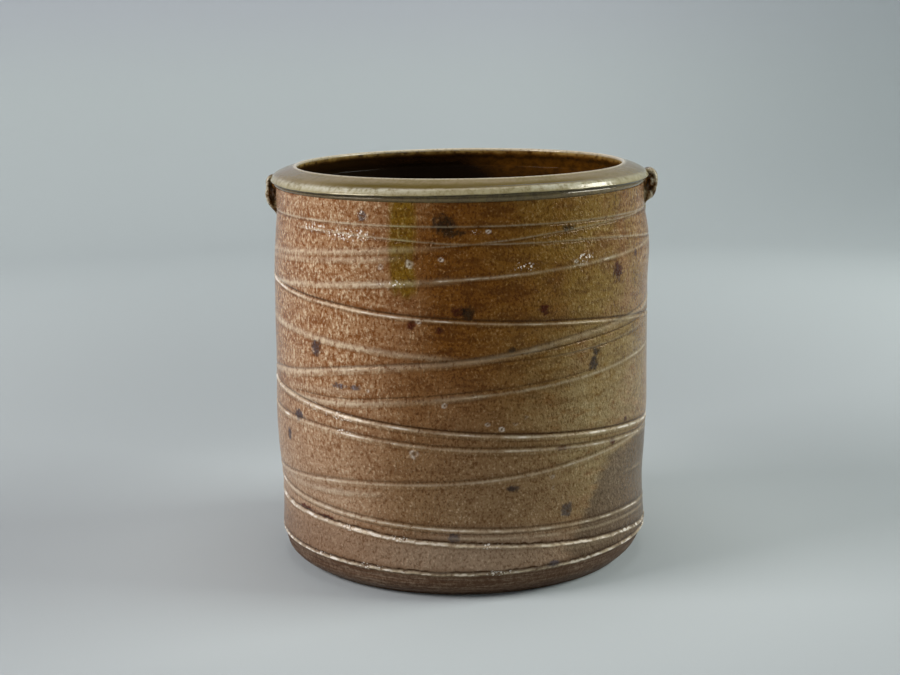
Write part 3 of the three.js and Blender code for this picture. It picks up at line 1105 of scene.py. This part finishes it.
@dataclass(frozen=True)
class RimGlaze(Finish):
    """Glossy ash glaze on the rim: olive brown on the bevel, gold and silvery grey on the ridge, a pale
    lip.

    The ridge's pale stretches and the lip are partly painted highlights, and the darker front of the bevel
    and the undercut below the ridge are painted shade.
    """

    tan: Colour = (0.235, 0.18, 0.09)
    olive: Colour = (0.175, 0.135, 0.05)
    front_shade: Colour = (0.1, 0.068, 0.012)
    gold: Colour = (0.33, 0.285, 0.155)
    # The lip's pale tone, partly a painted highlight.
    pale: Colour = (0.74, 0.66, 0.49)
    silver_highlight: Colour = (0.6, 0.575, 0.45)
    shade: Colour = (0.03, 0.022, 0.007)
    grey: Colour = (0.1, 0.07, 0.032)
    deep: Colour = (0.012, 0.006, 0.002)
    amber: Colour = (0.15, 0.056, 0.005)
    straw: Colour = (0.34, 0.22, 0.06)
    cloud_scale: float = 60.0
    dimple_scale: float = 170.0
    streak_scale: float = 420.0
    grain_scale: float = 900.0
    dimple_depth: float = 0.26
    index: float = 1.46
    tint: tuple[float, ...] = (1.0, 0.92, 0.78, 1.0)

    def paint(self, shader: Shader) -> None:
        """Paints the glaze.

        Args:
            shader: the material's nodes.
        """
        cloud = shader.noise(self.cloud_scale, 3.0)
        streak = shader.noise(self.streak_scale, 2.0, (1.0, 1.0, 0.4))
        grain = shader.noise(self.grain_scale, 3.0, None, 0.8)
        mottle = shader.ease(cloud * 0.3 + streak * 0.3 + grain * 0.4, 0.38, 0.56)
        breaking_and_highlight = shader.mark("break_and_highlight") * shader.ease(streak * 0.5 + grain * 0.5, 0.30, 0.62)
        flow, thin = shader.runs()
        edge_run = shader.mark("edge_run") * shader.ease(flow, 0.30, 0.58)
        colour = shader.lay(
            self.olive,
            (mottle, self.tan),
            # Painted shade: the bevel darker on the front, where its sheen falls off.
            (shader.mark("front_shade") * (0.75 + mottle * 0.25), self.front_shade),
            (shader.mark("gold") * (0.35 + mottle * 0.65), self.gold),
            # Pale ridge: thin glaze breaking, and a painted highlight.
            (breaking_and_highlight * 0.8, self.silver_highlight),
            (shader.mark("inside"), shader.lay(self.deep, (thin, self.amber), (edge_run, self.straw))),
            # The pale lip: glaze thin at the edge, brightened as a painted highlight.
            (shader.mark("lip") * shader.ease(grain, 0.32, 0.48), self.pale),
            (shader.mark("grey") * (0.4 + mottle * 0.6), self.grey),
            (shader.mark("shade") * (0.5 + mottle * 0.5), self.shade),
        )
        dimpled = shader.noise(self.dimple_scale, 2.0)
        normal = shader.relief(cloud * 0.6 + streak * 0.3 + dimpled * 0.5, self.dimple_depth)
        shader.finish(colour, 0.10 + streak * 0.10, normal, IOR=self.index, Specular_Tint=self.tint)


@dataclass(frozen=True)
class EarGlaze(Finish):
    """Glaze on the ears: pale ash on the outer curl, brown between, amber and dark in the hollow.

    The hollow's dark is partly pooled glaze and partly painted shade.
    """

    ash: Colour = (0.23, 0.18, 0.09)
    pale: Colour = (0.47, 0.41, 0.28)
    brown: Colour = (0.11, 0.06, 0.018)
    amber: Colour = (0.16, 0.066, 0.01)
    # Near black: pooled glaze in the hollow, and the painted shade in it.
    deep: Colour = (0.04, 0.022, 0.007)
    cloud_scale: float = 520.0
    dimple_depth: float = 0.22
    index: float = 1.45

    def paint(self, shader: Shader) -> None:
        """Paints the glaze.

        Args:
            shader: the material's nodes.
        """
        cloud = shader.noise(self.cloud_scale, 3.0, None, 0.7)
        ashy = shader.ease(cloud, 0.40, 0.58)
        colour = shader.lay(
            self.brown,
            (ashy, self.ash),
            (shader.mark("curl") * ashy, self.pale),
            # The hollow: pooled amber glaze, darkened as painted shade; the shadow mark adds painted shade.
            (shader.mark("hollow"), shader.blend(shader.ease(cloud, 0.35, 0.6), self.deep, self.amber)),
            (shader.mark("shadow") * 0.7, self.deep),
        )
        normal = shader.relief(cloud, self.dimple_depth)
        shader.finish(colour, 0.20 + cloud * 0.1, normal, IOR=self.index)


@dataclass(frozen=True)
class Paper(Finish):
    """Pale blue-grey backdrop paper with painted light and shade: lighter at the bend behind, dimmer above
    it and far to the right.
    """

    near: Colour = (0.382, 0.412, 0.412)
    bend: Colour = (0.63, 0.685, 0.672)
    above: Colour = (0.53, 0.535, 0.6)
    right: Colour = (0.33, 0.375, 0.378)
    fibre_scale: float = 900.0

    def paint(self, shader: Shader) -> None:
        """Paints the paper. Its borders are distances from the middle of the jar's foot, in metres.

        Args:
            shader: the material's nodes.
        """
        away = shader.add("ShaderNodeVectorMath", {"operation": "LENGTH"}, {0: shader.place}, out="Value")
        sideways = shader.add("ShaderNodeSeparateXYZ", None, {0: shader.place}, out="X")
        # Painted light and shade: lighter at the bend and in a ring round the foot, dimmer near, above and
        # right.
        colour = shader.lay(
            self.near,
            (shader.ease(away, 0.25, 1.0), self.bend),
            (shader.ease(away, 1.38, 1.65), self.above),
            (shader.ease(away, 0.26, 0.12) * 0.25, self.bend),
            (shader.ease(sideways, 0.0, 0.7) * shader.ease(away, 0.7, 1.3) * 0.8, self.right),
            (shader.noise(self.fibre_scale, 2.0) * 0.06, self.bend),
        )
        shader.finish(colour, 0.9, None, Specular_IOR_Level=0.2)


def dress(piece: bpy.types.Object, materials: Sequence[bpy.types.Material], node: str) -> None:
    """Gives a piece its materials and says what it stands for.

    Args:
        piece: the finished mesh object.
        materials: its materials, in slot order.
        node: the solid that it replaces.
    """
    for material in materials:
        piece.data.materials.append(material)
    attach(piece, BODY)
    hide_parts(node)
    LOG.info("%s: %d faces, stands for %s", piece.name, len(piece.data.polygons), node)


def paint_rows(piece: bpy.types.Object, rows: range, index: int) -> None:
    """Gives the faces of some grid rows another material slot.

    Args:
        piece: the mesh object, made from a grid.
        rows: the rows to paint.
        index: the slot's number.
    """
    slots = np.zeros(len(piece.data.polygons), np.int32)
    slots[rows.start * COLUMNS:rows.stop * COLUMNS] = index
    piece.data.polygons.foreach_set("material_index", slots)


@dataclass
class Wall:
    """The wall: a finely marked outside, a plain seat under the rim and a ringed, glazed inside."""

    shape: JarShape
    decoration: Decoration
    row_step: float = 0.3
    inner_step: float = 3.0
    corner: float = 0.04
    ring_height: float = 0.22
    ring_pitch: float = 9.0
    ring_start: tuple[float, float] = (20.0, 40.0)
    ring_end: tuple[float, float] = (155.0, 164.0)
    heel_steps: int = 10

    def build(self) -> None:
        """Builds and dresses the wall."""
        shape = self.shape
        rows = round((shape.seat_height - shape.floor_height) / self.row_step) + 1
        relief = Relief(shape, np.linspace(shape.floor_height, shape.seat_height, rows))
        self.decoration.press(relief)
        outside = relief.surface()
        edges = np.hypot(outside[[0, -1], :, 0], outside[[0, -1], :, 1]) - self.corner
        inside = np.concatenate([
            around(edges[1:], np.array([[shape.seat_height]]), relief.degrees),
            self._inside(),
            around(edges[:1], np.array([[shape.floor_height]]), relief.degrees),
        ])
        points = np.concatenate([outside, inside])
        plain = np.zeros(inside.shape[:2])
        marks = {key: np.concatenate([value, plain]) for key, value in relief.marks().items()}
        marks["thin"] = np.zeros(points.shape[:2])
        marks["thin"][rows:] = shape.thin_inside(inside[..., 2], relief.degrees)
        piece = Skin("wall_skin", points, marks).build()
        glaze = WallGlaze().material("wall_glaze")
        lining = InnerGlaze().material("inner_glaze")
        dress(piece, (glaze, lining), "wall")
        paint_rows(piece, range(rows + 1, len(points)), 1)

    def _inside(self) -> np.ndarray:
        """Lays out the inside.

        Returns:
            The grid from the seat's inner edge down to the floor.
        """
        shape = self.shape
        degrees = column_degrees()
        top, bottom = shape.seat_height, shape.floor_height
        turn = np.linspace(0.0, np.pi / 2.0, self.heel_steps + 1)
        heel_middle = shape.inner_radius - shape.heel_radius
        heel_radii = heel_middle + shape.heel_radius * np.cos(turn)
        heel = np.stack([heel_radii, bottom + shape.heel_radius * (1.0 - np.sin(turn))], axis=1)
        down = np.arange(top - 1.0, bottom + shape.heel_radius + 1.0, -self.inner_step)
        straight = np.stack([np.full_like(down, shape.inner_radius), down], axis=1)
        seat = [(shape.inner_radius + self.corner, top)]
        seat += [(shape.inner_radius, top - self.corner * number) for number in (1.0, 2.0)]
        outline = np.concatenate([seat, straight, heel, [(heel_middle - self.corner, bottom)]])
        spiral = np.sin(2.0 * np.pi * (outline[:, 1, None] / self.ring_pitch + degrees / 360.0))
        depth = smooth_step(outline[:, 1], *self.ring_start)
        depth = depth * (1.0 - smooth_step(outline[:, 1], *self.ring_end))
        on_wall = outline[:, 0] <= shape.inner_radius
        radii = outline[:, 0, None] - (depth * on_wall)[:, None] * self.ring_height * spiral
        return around(radii, outline[:, 1, None], degrees)


@dataclass
class Floor:
    """The floor slab: the foot bevel round its edge, a flat base and a glazed top inside the jar."""

    shape: JarShape
    row_step: float = 0.3
    ring_step: float = 2.5
    pole: float = 0.4
    swirl_height: float = 0.25
    swirl_pitch: float = 11.0
    swirl_start: tuple[float, float] = (2.0, 8.0)
    swirl_end: tuple[float, float] = (62.0, 56.0)
    thin: float = 0.18

    def build(self) -> None:
        """Builds and dresses the floor slab."""
        shape = self.shape
        rows = round((shape.floor_height - shape.foot_edge) / self.row_step) + 1
        heights = np.linspace(shape.foot_edge, shape.floor_height, rows)
        relief = Relief(shape, heights)
        base = self._disc(shape.foot_radius - shape.foot_edge, 0.0)[::-1]
        edge = self._edge()
        top = self._disc(float(relief.radius[-1].min()) - 0.2, shape.floor_height)
        points = np.concatenate([base, edge, relief.surface(), top])
        marks = {key: np.zeros(points.shape[:2]) for key in relief.marks()}
        first = len(base) + len(edge)
        for key, value in relief.marks().items():
            marks[key][first:first + rows] = value
        marks["bevel"][:first] = 1.0
        marks["thin"] = np.zeros(points.shape[:2])
        marks["thin"][first + rows:] = self.thin
        piece = Skin("foot_slab", points, marks, capped=True).build()
        clay = WallGlaze().material("foot_clay")
        lining = InnerGlaze().material("floor_glaze")
        dress(piece, (clay, lining), "floor")
        paint_rows(piece, range(first + rows, len(points)), 1)

    def _edge(self) -> np.ndarray:
        """Rounds the edge between the flat base and the bevel.

        Returns:
            The grid of its rows, from the base up.
        """
        turn = np.linspace(0.0, np.pi / 2.0, 5)[1:-1]
        radii = self.shape.foot_radius - self.shape.foot_edge * (1.0 - np.sin(turn))
        heights = self.shape.foot_edge * (1.0 - np.cos(turn))
        return around(radii[:, None], heights[:, None], column_degrees())

    def _disc(self, radius: float, height: float) -> np.ndarray:
        """Lays out a disc. The spiral that throwing leaves shows only on the one inside the jar.

        Args:
            radius: the outermost ring's radius.
            height: the disc's height.

        Returns:
            The grid of its rings, from the outside in to the pole.
        """
        radii = np.append(np.arange(radius, self.pole, -self.ring_step), self.pole)[:, None]
        degrees = column_degrees()
        swirl = np.sin(2.0 * np.pi * (radii / self.swirl_pitch - degrees / 360.0))
        shown = smooth_step(radii, *self.swirl_end) * smooth_step(radii, *self.swirl_start) * (height > 0.0)
        return around(radii, height - self.swirl_height * shown * (1.0 + swirl) / 2.0, degrees)


@dataclass
class Rim:
    """The bevelled collar: a rounded lip, a sloping top, a ridge and a dark undercut over a small roll."""

    shape: JarShape
    step: float = 0.3
    wave: float = 0.12
    rippled: float = 0.06
    outline: Points = (
        (75, 169.08), (74.9, 169.6), (74.4, 171), (73.4, 173.6), (72.8, 175.4), (72.8, 176.9),
        (73.25, 177.75), (74, 177.92), (75, 177.55), (78.5, 176.45), (80.6, 175.65), (82, 174.95),
        (83, 174.35), (83.7, 173.75), (84.1, 173.1), (84.5, 172.4), (84.75, 171.95), (84.5, 171.65),
        (83.9, 171.5), (83.15, 171.35), (83, 171), (83.35, 170.4), (83.15, 169.7), (82.5, 169.2),
        (82.35, 169),
    )
    under: tuple[float, ...] = (82.2, 79.0, 75.04)
    ridge_wave: Points = (
        (-180, 0.1), (-120, 0.3), (-84, 0), (-50, -0.5), (-20, 0), (25, 0.7), (55, 0.4), (84, 0),
        (130, -0.3), (180, 0.1),
    )
    # Ridge paleness round the jar: glaze breaking, brightened as a painted highlight where lamps reflect.
    broken: Points = (
        (-180, 0.3), (-90, 0.3), (-64, 0.6), (-46, 1), (-28, 1), (-12, 0.5), (0, 0.15), (16, 0.2),
        (26, 0.9), (40, 0.8), (60, 0.4), (90, 0.4), (180, 0.4),
    )
    ridge_radius: float = 83.5
    lip_radius: float = 73.7
    line_reach: float = 0.9

    # Borders of the zones: radii and heights in millimetres, and degrees for the front.
    OUTER = (78.0, 79.0)
    LOW = (171.5, 172.1)
    ROLL = (82.2, 84.3)
    FRONT = (25.0, 55.0)
    FRONT_SHADE = (77.0, 81.6)
    RIDGE = (80.5, 83.2)
    RIDGE_BASE = 172.6
    LIP_RISE = (176.4, 177.3)
    SHADE_RISE = (170.9, 171.3)
    INSIDE_RADIUS = 75.3
    INSIDE_TOP = (176.7, 177.5)
    RUN_RISE = (175.0, 177.4)
    # The waves of the hand-made rim: their seeds and the sizes of their lumps.
    SWAY_SEED = 31
    SWAY_CELL = 24.0
    RIPPLE_SEED = 32
    RIPPLE_CELL = (5.0, 5.0, 3.0)

    def build(self) -> None:
        """Builds and dresses the rim."""
        seat = self.shape.seat_height
        under = [*((radius, seat) for radius in self.under), (self.shape.inner_radius, seat + 0.04)]
        outline = np.concatenate([smooth_outline(self.outline, self.step), under])[::-1]
        degrees = column_degrees()
        radius, height = outline[:, 0, None], outline[:, 1, None]
        points = around(radius, height, degrees)
        loose = smooth_step(height, seat + 0.4, seat + 2.5)
        sway = Grain(self.SWAY_SEED).at(points, self.SWAY_CELL)
        ripple = Grain(self.RIPPLE_SEED).at(points, self.RIPPLE_CELL)
        ridge = smooth_step(radius, *self.RIDGE) * loose
        points = around(
            radius + loose * (self.wave * sway + self.rippled * ripple),
            height - loose * self.wave * np.abs(sway) + ridge * follow(self.ridge_wave, degrees),
            degrees,
        )
        piece = Skin("rim_collar", points, self._marks(radius, height, 0.5 * ripple)).build()
        dress(piece, (RimGlaze().material("rim_glaze"),), "rim")

    def _marks(self, radius: np.ndarray, height: np.ndarray, wobble: np.ndarray) -> dict[str, np.ndarray]:
        """Finds where the glaze changes along the outline, and where light and shade are painted on it.

        Args:
            radius: the radius of each row.
            height: the height of each row.
            wobble: noise that makes the borders uneven, in millimetres.

        Returns:
            How strongly each change shows, from 0 to 1, by its name.
        """
        degrees = column_degrees()
        outer = smooth_step(radius, *self.OUTER)
        low = 1.0 - smooth_step(height + 0.5 * wobble, *self.LOW)
        roll = smooth_step(radius + 0.5 * wobble, *self.ROLL)
        front = 1.0 - smooth_step(np.abs(degrees), *self.FRONT)
        # Painted shade on the front of the bevel, where its sheen falls off.
        front_shade = front * smooth_step(radius + 0.8 * wobble, *self.FRONT_SHADE)
        ridge = bump(radius, self.ridge_radius, self.line_reach) * (height > self.RIDGE_BASE)
        lip = bump(radius, self.lip_radius, self.line_reach)
        found = {
            "gold": outer * roll * (1.0 - low),
            "front_shade": front_shade * (1.0 - roll) * (1.0 - low),
            "break_and_highlight": follow(self.broken, degrees) * ridge,
            # The pale lip: thin glaze, and partly a painted highlight.
            "lip": lip * smooth_step(height, *self.LIP_RISE),
            "shade": outer * low * smooth_step(height + 0.6 * wobble, *self.SHADE_RISE),
            "grey": outer * low,
            "inside": (radius < self.INSIDE_RADIUS) * (1.0 - smooth_step(height, *self.INSIDE_TOP)),
            "thin": self.shape.thin_inside(height + 1.5 * wobble, degrees),
            "edge_run": smooth_step(height + 1.2 * wobble, *self.RUN_RISE),
        }
        return {name: np.broadcast_to(value, wobble.shape) for name, value in found.items()}


class Side(Enum):
    """The side of the jar that an ear is on."""

    LEFT = -1
    RIGHT = 1


@dataclass(frozen=True)
class Lump:
    """A soft round lump of clay: its middle and its reach, as (proud, height, along the rim)."""

    middle: tuple[float, float, float]
    reach: tuple[float, float, float]


@dataclass
class Ear:
    """A pinched ear: a coil arched from the rim's ridge down to the wall, with a hollow in front."""

    shape: JarShape
    side: Side
    node: str
    arch: Points
    lumps: tuple[Lump, ...]
    hollow_middle: tuple[float, float]
    hollow_size: tuple[float, float]
    half_width: float = 5.4
    band: float = 1.0
    voxel: float = 0.3
    neck: float = 82.5
    proud_limit: float = 6.45
    uneven: float = 0.24
    uneven_cell: float = 2.8

    # ROUND is how many points go round a coil or a ball, and RINGS is how many such rings a ball has.
    SEED = 41
    ROUND = 24
    RINGS = 13
    STEP = 0.6
    # Borders of the hollow, of the shadow in it and of the pale curl round it.
    HOLLOW = (0.75, 1.15)
    HOLLOW_FRONT = (-5.0, -4.0)
    SHADOW = (0.4, 1.0)
    SHADOW_FRONT = (-3.8, -2.4)
    CURL = (1.9, 3.0)
    CURL_FRONT = (-5.0, -4.2)

    def build(self) -> None:
        """Builds and dresses the ear."""
        piece = self._fuse([self._arch_band(), *(self._ball(lump) for lump in self.lumps)])
        self._roughen(piece.data)
        dress(piece, (EarGlaze().material(f"{self.node}_glaze"),), self.node)

    def _place(self, proud: np.ndarray, height: np.ndarray, along: np.ndarray) -> np.ndarray:
        """Points from how far they stand proud of the neck, their height and their place along the rim."""
        return np.stack(np.broadcast_arrays(self.side.value * (self.neck + proud), along, height), axis=-1)

    def _arch_band(self) -> np.ndarray:
        """Makes the coil that is the ear's outline, broad along the rim and thinner at its ends.

        Returns:
            The grid of its skin.
        """
        line = smooth_outline(self.arch, self.STEP)
        along = np.gradient(line, axis=0)
        along /= np.linalg.norm(along, axis=1, keepdims=True)
        across = np.stack([along[:, 1], -along[:, 0]], axis=1)
        share = np.linspace(0.0, 1.0, len(line))
        taper = np.sin(np.pi * np.clip(share * 0.86 + 0.1, 0.0, 1.0)) ** 0.5
        half_width, half_band = self.half_width * taper, self.band * (0.5 + 0.5 * taper)
        turn = np.linspace(0.0, 2.0 * np.pi, self.ROUND, endpoint=False)
        side = np.sign(np.cos(turn)) * np.abs(np.cos(turn)) ** 0.7
        face = np.sign(np.sin(turn)) * np.abs(np.sin(turn)) ** 0.8
        proud = line[:, 0, None] + across[:, 0, None] * half_band[:, None] * face
        height = line[:, 1, None] + across[:, 1, None] * half_band[:, None] * face
        return self._place(proud, height, half_width[:, None] * side)

    def _ball(self, lump: Lump) -> np.ndarray:
        """Makes one lump as an egg-shaped ball.

        Args:
            lump: its middle and its reach.

        Returns:
            The grid of its skin.
        """
        rise = np.linspace(-0.48, 0.48, self.RINGS)[:, None] * np.pi
        turn = np.linspace(0.0, 2.0 * np.pi, self.ROUND, endpoint=False)
        offsets = (np.cos(rise) * np.cos(turn), np.sin(rise), np.cos(rise) * np.sin(turn))
        return self._place(*(
            middle + reach * offset for middle, reach, offset in zip(lump.middle, lump.reach, offsets)
        ))

    def _fuse(self, grids: Sequence[np.ndarray]) -> bpy.types.Object:
        """Joins overlapping forms into one skin with a voxel remesh and smooths it.

        Args:
            grids: the forms, each a grid that is closed at its ends here.

        Returns:
            The ear's object, not yet dressed.
        """
        faces: list[np.ndarray] = []
        start = 0
        for grid in grids:
            rows, columns, _ = grid.shape
            faces += [block + start for block in (grid_faces(rows, columns), *end_faces(rows, columns))]
            start += rows * columns + 2
        piece = mesh_object(f"{self.node}_ear", np.concatenate([with_poles(grid) for grid in grids]), faces)
        remesh = piece.modifiers.new("fuse", "REMESH")
        remesh.mode = "VOXEL"
        remesh.voxel_size = self.voxel * MM
        smooth = piece.modifiers.new("smooth", "SMOOTH")
        smooth.iterations = 3
        smooth.factor = 0.5
        fused = bpy.data.meshes.new_from_object(piece.evaluated_get(bpy.context.evaluated_depsgraph_get()))
        piece.modifiers.clear()
        piece.data = fused
        fused.shade_smooth()
        return piece

    def _roughen(self, mesh: bpy.types.Mesh) -> None:
        """Makes the skin uneven as pinched clay and marks its hollow and its outer curl.

        Args:
            mesh: the fused skin.
        """
        flat = np.zeros(len(mesh.vertices) * 3, np.float32)
        mesh.vertices.foreach_get("co", flat)
        points = flat.reshape(-1, 3).astype(float) / MM
        grain = Grain(self.SEED + self.side.value)
        for axis in range(3):
            points[:, axis] += self.uneven * grain.at(points + 50.0 * axis, self.uneven_cell)
        limit = self.neck + self.proud_limit
        points[:, 0] = np.clip(points[:, 0], -limit, limit)
        mesh.vertices.foreach_set("co", (points * MM).astype(np.float32).reshape(-1))
        mesh.update()
        proud, along, height = np.abs(points[:, 0]) - self.neck, points[:, 1], points[:, 2]
        reach = np.hypot(*(
            (place - middle) / size
            for place, middle, size in zip((proud, height), self.hollow_middle, self.hollow_size)
        ))
        hollow = (1.0 - smooth_step(reach, *self.HOLLOW)) * smooth_step(along, *self.HOLLOW_FRONT)
        shadow = (1.0 - smooth_step(reach, *self.SHADOW)) * smooth_step(along, *self.SHADOW_FRONT)
        curl = smooth_step(proud, *self.CURL) + (1.0 - smooth_step(along, *self.CURL_FRONT))
        set_marks(mesh, {"hollow": hollow, "shadow": shadow, "curl": np.minimum(curl, 1.0)})


def ears(shape: JarShape) -> tuple[Ear, Ear]:
    """The two ears. They were pinched by hand, so each has its own arch, lumps and hollow.

    Args:
        shape: the jar's sizes.

    Returns:
        The left ear and the right ear.
    """
    left = Ear(
        shape, Side.LEFT, "lug_left",
        arch=(
            (0.2, 172.9), (1.8, 172.7), (3.2, 171.8), (3.7, 169.8), (3.7, 167.5), (3.9, 165.2),
            (3.6, 162.9), (2.9, 160.9), (1.8, 159.1), (0.6, 157.4), (-0.5, 155.2),
        ),
        lumps=(
            Lump((1.6, 165.8, 1.2), (2.4, 6.2, 4.4)),
            Lump((0.4, 161.5, -2.6), (0.9, 3.6, 1.6)),
            Lump((0.6, 169.4, -1.0), (1.8, 3.2, 3.4)),
        ),
        hollow_middle=(1.5, 165.6),
        hollow_size=(1.9, 5.6),
    )
    right = Ear(
        shape, Side.RIGHT, "lug_right",
        arch=(
            (-0.2, 171.6), (1.2, 173.0), (3.0, 173.3), (4.5, 172.7), (5.4, 171.1), (5.6, 168.8),
            (5.5, 166.6), (5.1, 164.4), (4.3, 162.5), (3.0, 161.0), (1.6, 159.7), (0.4, 157.6),
        ),
        lumps=(
            Lump((1.9, 166.2, 1.4), (3.2, 5.6, 4.2)),
            Lump((3.8, 168.3, -3.2), (1.15, 2.4, 1.9)),
            Lump((3.2, 162.6, -2.0), (1.9, 2.3, 3.2)),
            Lump((0.4, 164.0, -2.4), (1.3, 4.6, 2.2)),
            Lump((2.2, 171.0, 0.2), (2.6, 2.2, 4.0)),
            Lump((0.8, 169.4, -1.6), (1.4, 2.6, 2.6)),
            Lump((0.7, 155.5, -1.5), (0.6, 5.5, 0.9)),
        ),
        hollow_middle=(2.6, 168.2),
        hollow_size=(2.7, 4.2),
    )
    return left, right


@dataclass(frozen=True)
class Lamp:
    """A soft light that faces the jar, with its width and height in millimetres."""

    name: str
    place: Triple
    wide: float
    tall: float
    watts: float
    tint: Colour = (1.0, 1.0, 1.0)

    AIM = (0.0, 0.0, 90.0)

    def hang(self) -> None:
        """Makes the light and turns it to the jar."""
        light = bpy.data.lights.new(self.name, "AREA")
        light.shape = "RECTANGLE"
        light.size = self.wide * MM
        light.size_y = self.tall * MM
        light.energy = self.watts
        light.color = self.tint
        lamp = bpy.data.objects.new(self.name, light)
        lamp.location = Vector(self.place) * MM
        lamp.rotation_euler = (Vector(self.AIM) * MM - lamp.location).to_track_quat("-Z", "Y").to_euler()
        bpy.context.scene.collection.objects.link(lamp)


@dataclass
class Studio:
    """A pale round backdrop, bent up on every side, three soft lights and a dim surround."""

    flat_rings: tuple[float, ...] = (1.0, 300.0, 700.0)
    flat_radius: float = 1000.0
    bend_radius: float = 600.0
    bend_steps: int = 25
    height: float = 1800.0
    columns: int = 96
    surround: Colour = (0.62, 0.68, 0.74)
    surround_strength: float = 0.07
    lamps: tuple[Lamp, ...] = (
        Lamp("key_left", (-1100.0, -400.0, 780.0), 700.0, 340.0, 14.5, (1.0, 0.955, 0.98)),
        Lamp("fill_right", (1150.0, 0.0, 760.0), 760.0, 390.0, 14.2, (0.97, 1.0, 0.98)),
        Lamp("top", (0.0, 100.0, 1500.0), 900.0, 900.0, 5.0),
    )

    def build(self) -> None:
        """Builds the backdrop, the lights and the surround."""
        turn = np.linspace(0.0, np.pi / 2.0, self.bend_steps)
        radii = np.concatenate([self.flat_rings, self.flat_radius + self.bend_radius * np.sin(turn)])
        heights = np.concatenate([[0.0] * len(self.flat_rings), self.bend_radius * (1.0 - np.cos(turn))])
        radii, heights = np.append(radii, radii[-1]), np.append(heights, self.height)
        degrees = np.linspace(0.0, 360.0, self.columns, endpoint=False)
        points = around(radii[:, None], heights[:, None], degrees)
        middle = np.append(points.reshape(-1, 3), [[0.0, 0.0, 0.0]], axis=0)
        # The corners run the other way round than a skin's, so the paper faces the jar.
        quads = grid_faces(len(radii), self.columns)[:, [0, 3, 2, 1]]
        cap = end_faces(len(radii), self.columns)[0][:, [0, 2, 1]]
        backdrop = mesh_object("backdrop", middle, [quads, cap])
        backdrop.data.materials.append(Paper().material("backdrop_paper"))
        for lamp in self.lamps:
            lamp.hang()
        world = bpy.data.worlds.new("surround")
        world.use_nodes = True
        background = world.node_tree.nodes["Background"]
        background.inputs["Color"].default_value = (*self.surround, 1.0)
        background.inputs["Strength"].default_value = self.surround_strength
        bpy.context.scene.world = world


@dataclass(frozen=True)
class Viewpoint:
    """The photo's camera: where it stands, how it is turned and how long its lens is."""

    place: Triple = (0.0, -752.6, 246.8)
    yaw: float = -0.007
    pitch: float = 0.196
    roll: float = -0.015
    focal_pixels: float = 1670.0
    frame_pixels: float = 900.0
    sensor: float = 36.0

    def build(self) -> None:
        """Places the camera."""
        flat = math.cos(self.pitch)
        forward = Vector((math.sin(self.yaw) * flat, math.cos(self.yaw) * flat, -math.sin(self.pitch)))
        level = Vector((math.cos(self.yaw), -math.sin(self.yaw), 0.0))
        upright = level.cross(forward)
        right = math.cos(self.roll) * level + math.sin(self.roll) * upright
        up = math.cos(self.roll) * upright - math.sin(self.roll) * level
        lens = bpy.data.cameras.new("camera")
        lens.sensor_width = self.sensor
        lens.lens = self.focal_pixels * self.sensor / self.frame_pixels
        camera = bpy.data.objects.new("camera", lens)
        turned = Matrix((right, up, -forward)).transposed().to_4x4()
        camera.matrix_world = Matrix.Translation(Vector(self.place) * MM) @ turned
        bpy.context.scene.collection.objects.link(camera)
        bpy.context.scene.camera = camera


def main() -> None:
    """Builds the camera, the studio and every piece of the jar."""
    logging.basicConfig(level=logging.INFO, format="%(message)s")
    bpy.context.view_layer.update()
    shape = JarShape()
    Viewpoint().build()
    Studio().build()
    for part in (Floor(shape), Wall(shape, Decoration()), Rim(shape), *ears(shape)):
        part.build()
    bpy.context.scene.view_settings.view_transform = "Standard"


if __name__ == "__main__":
    main()
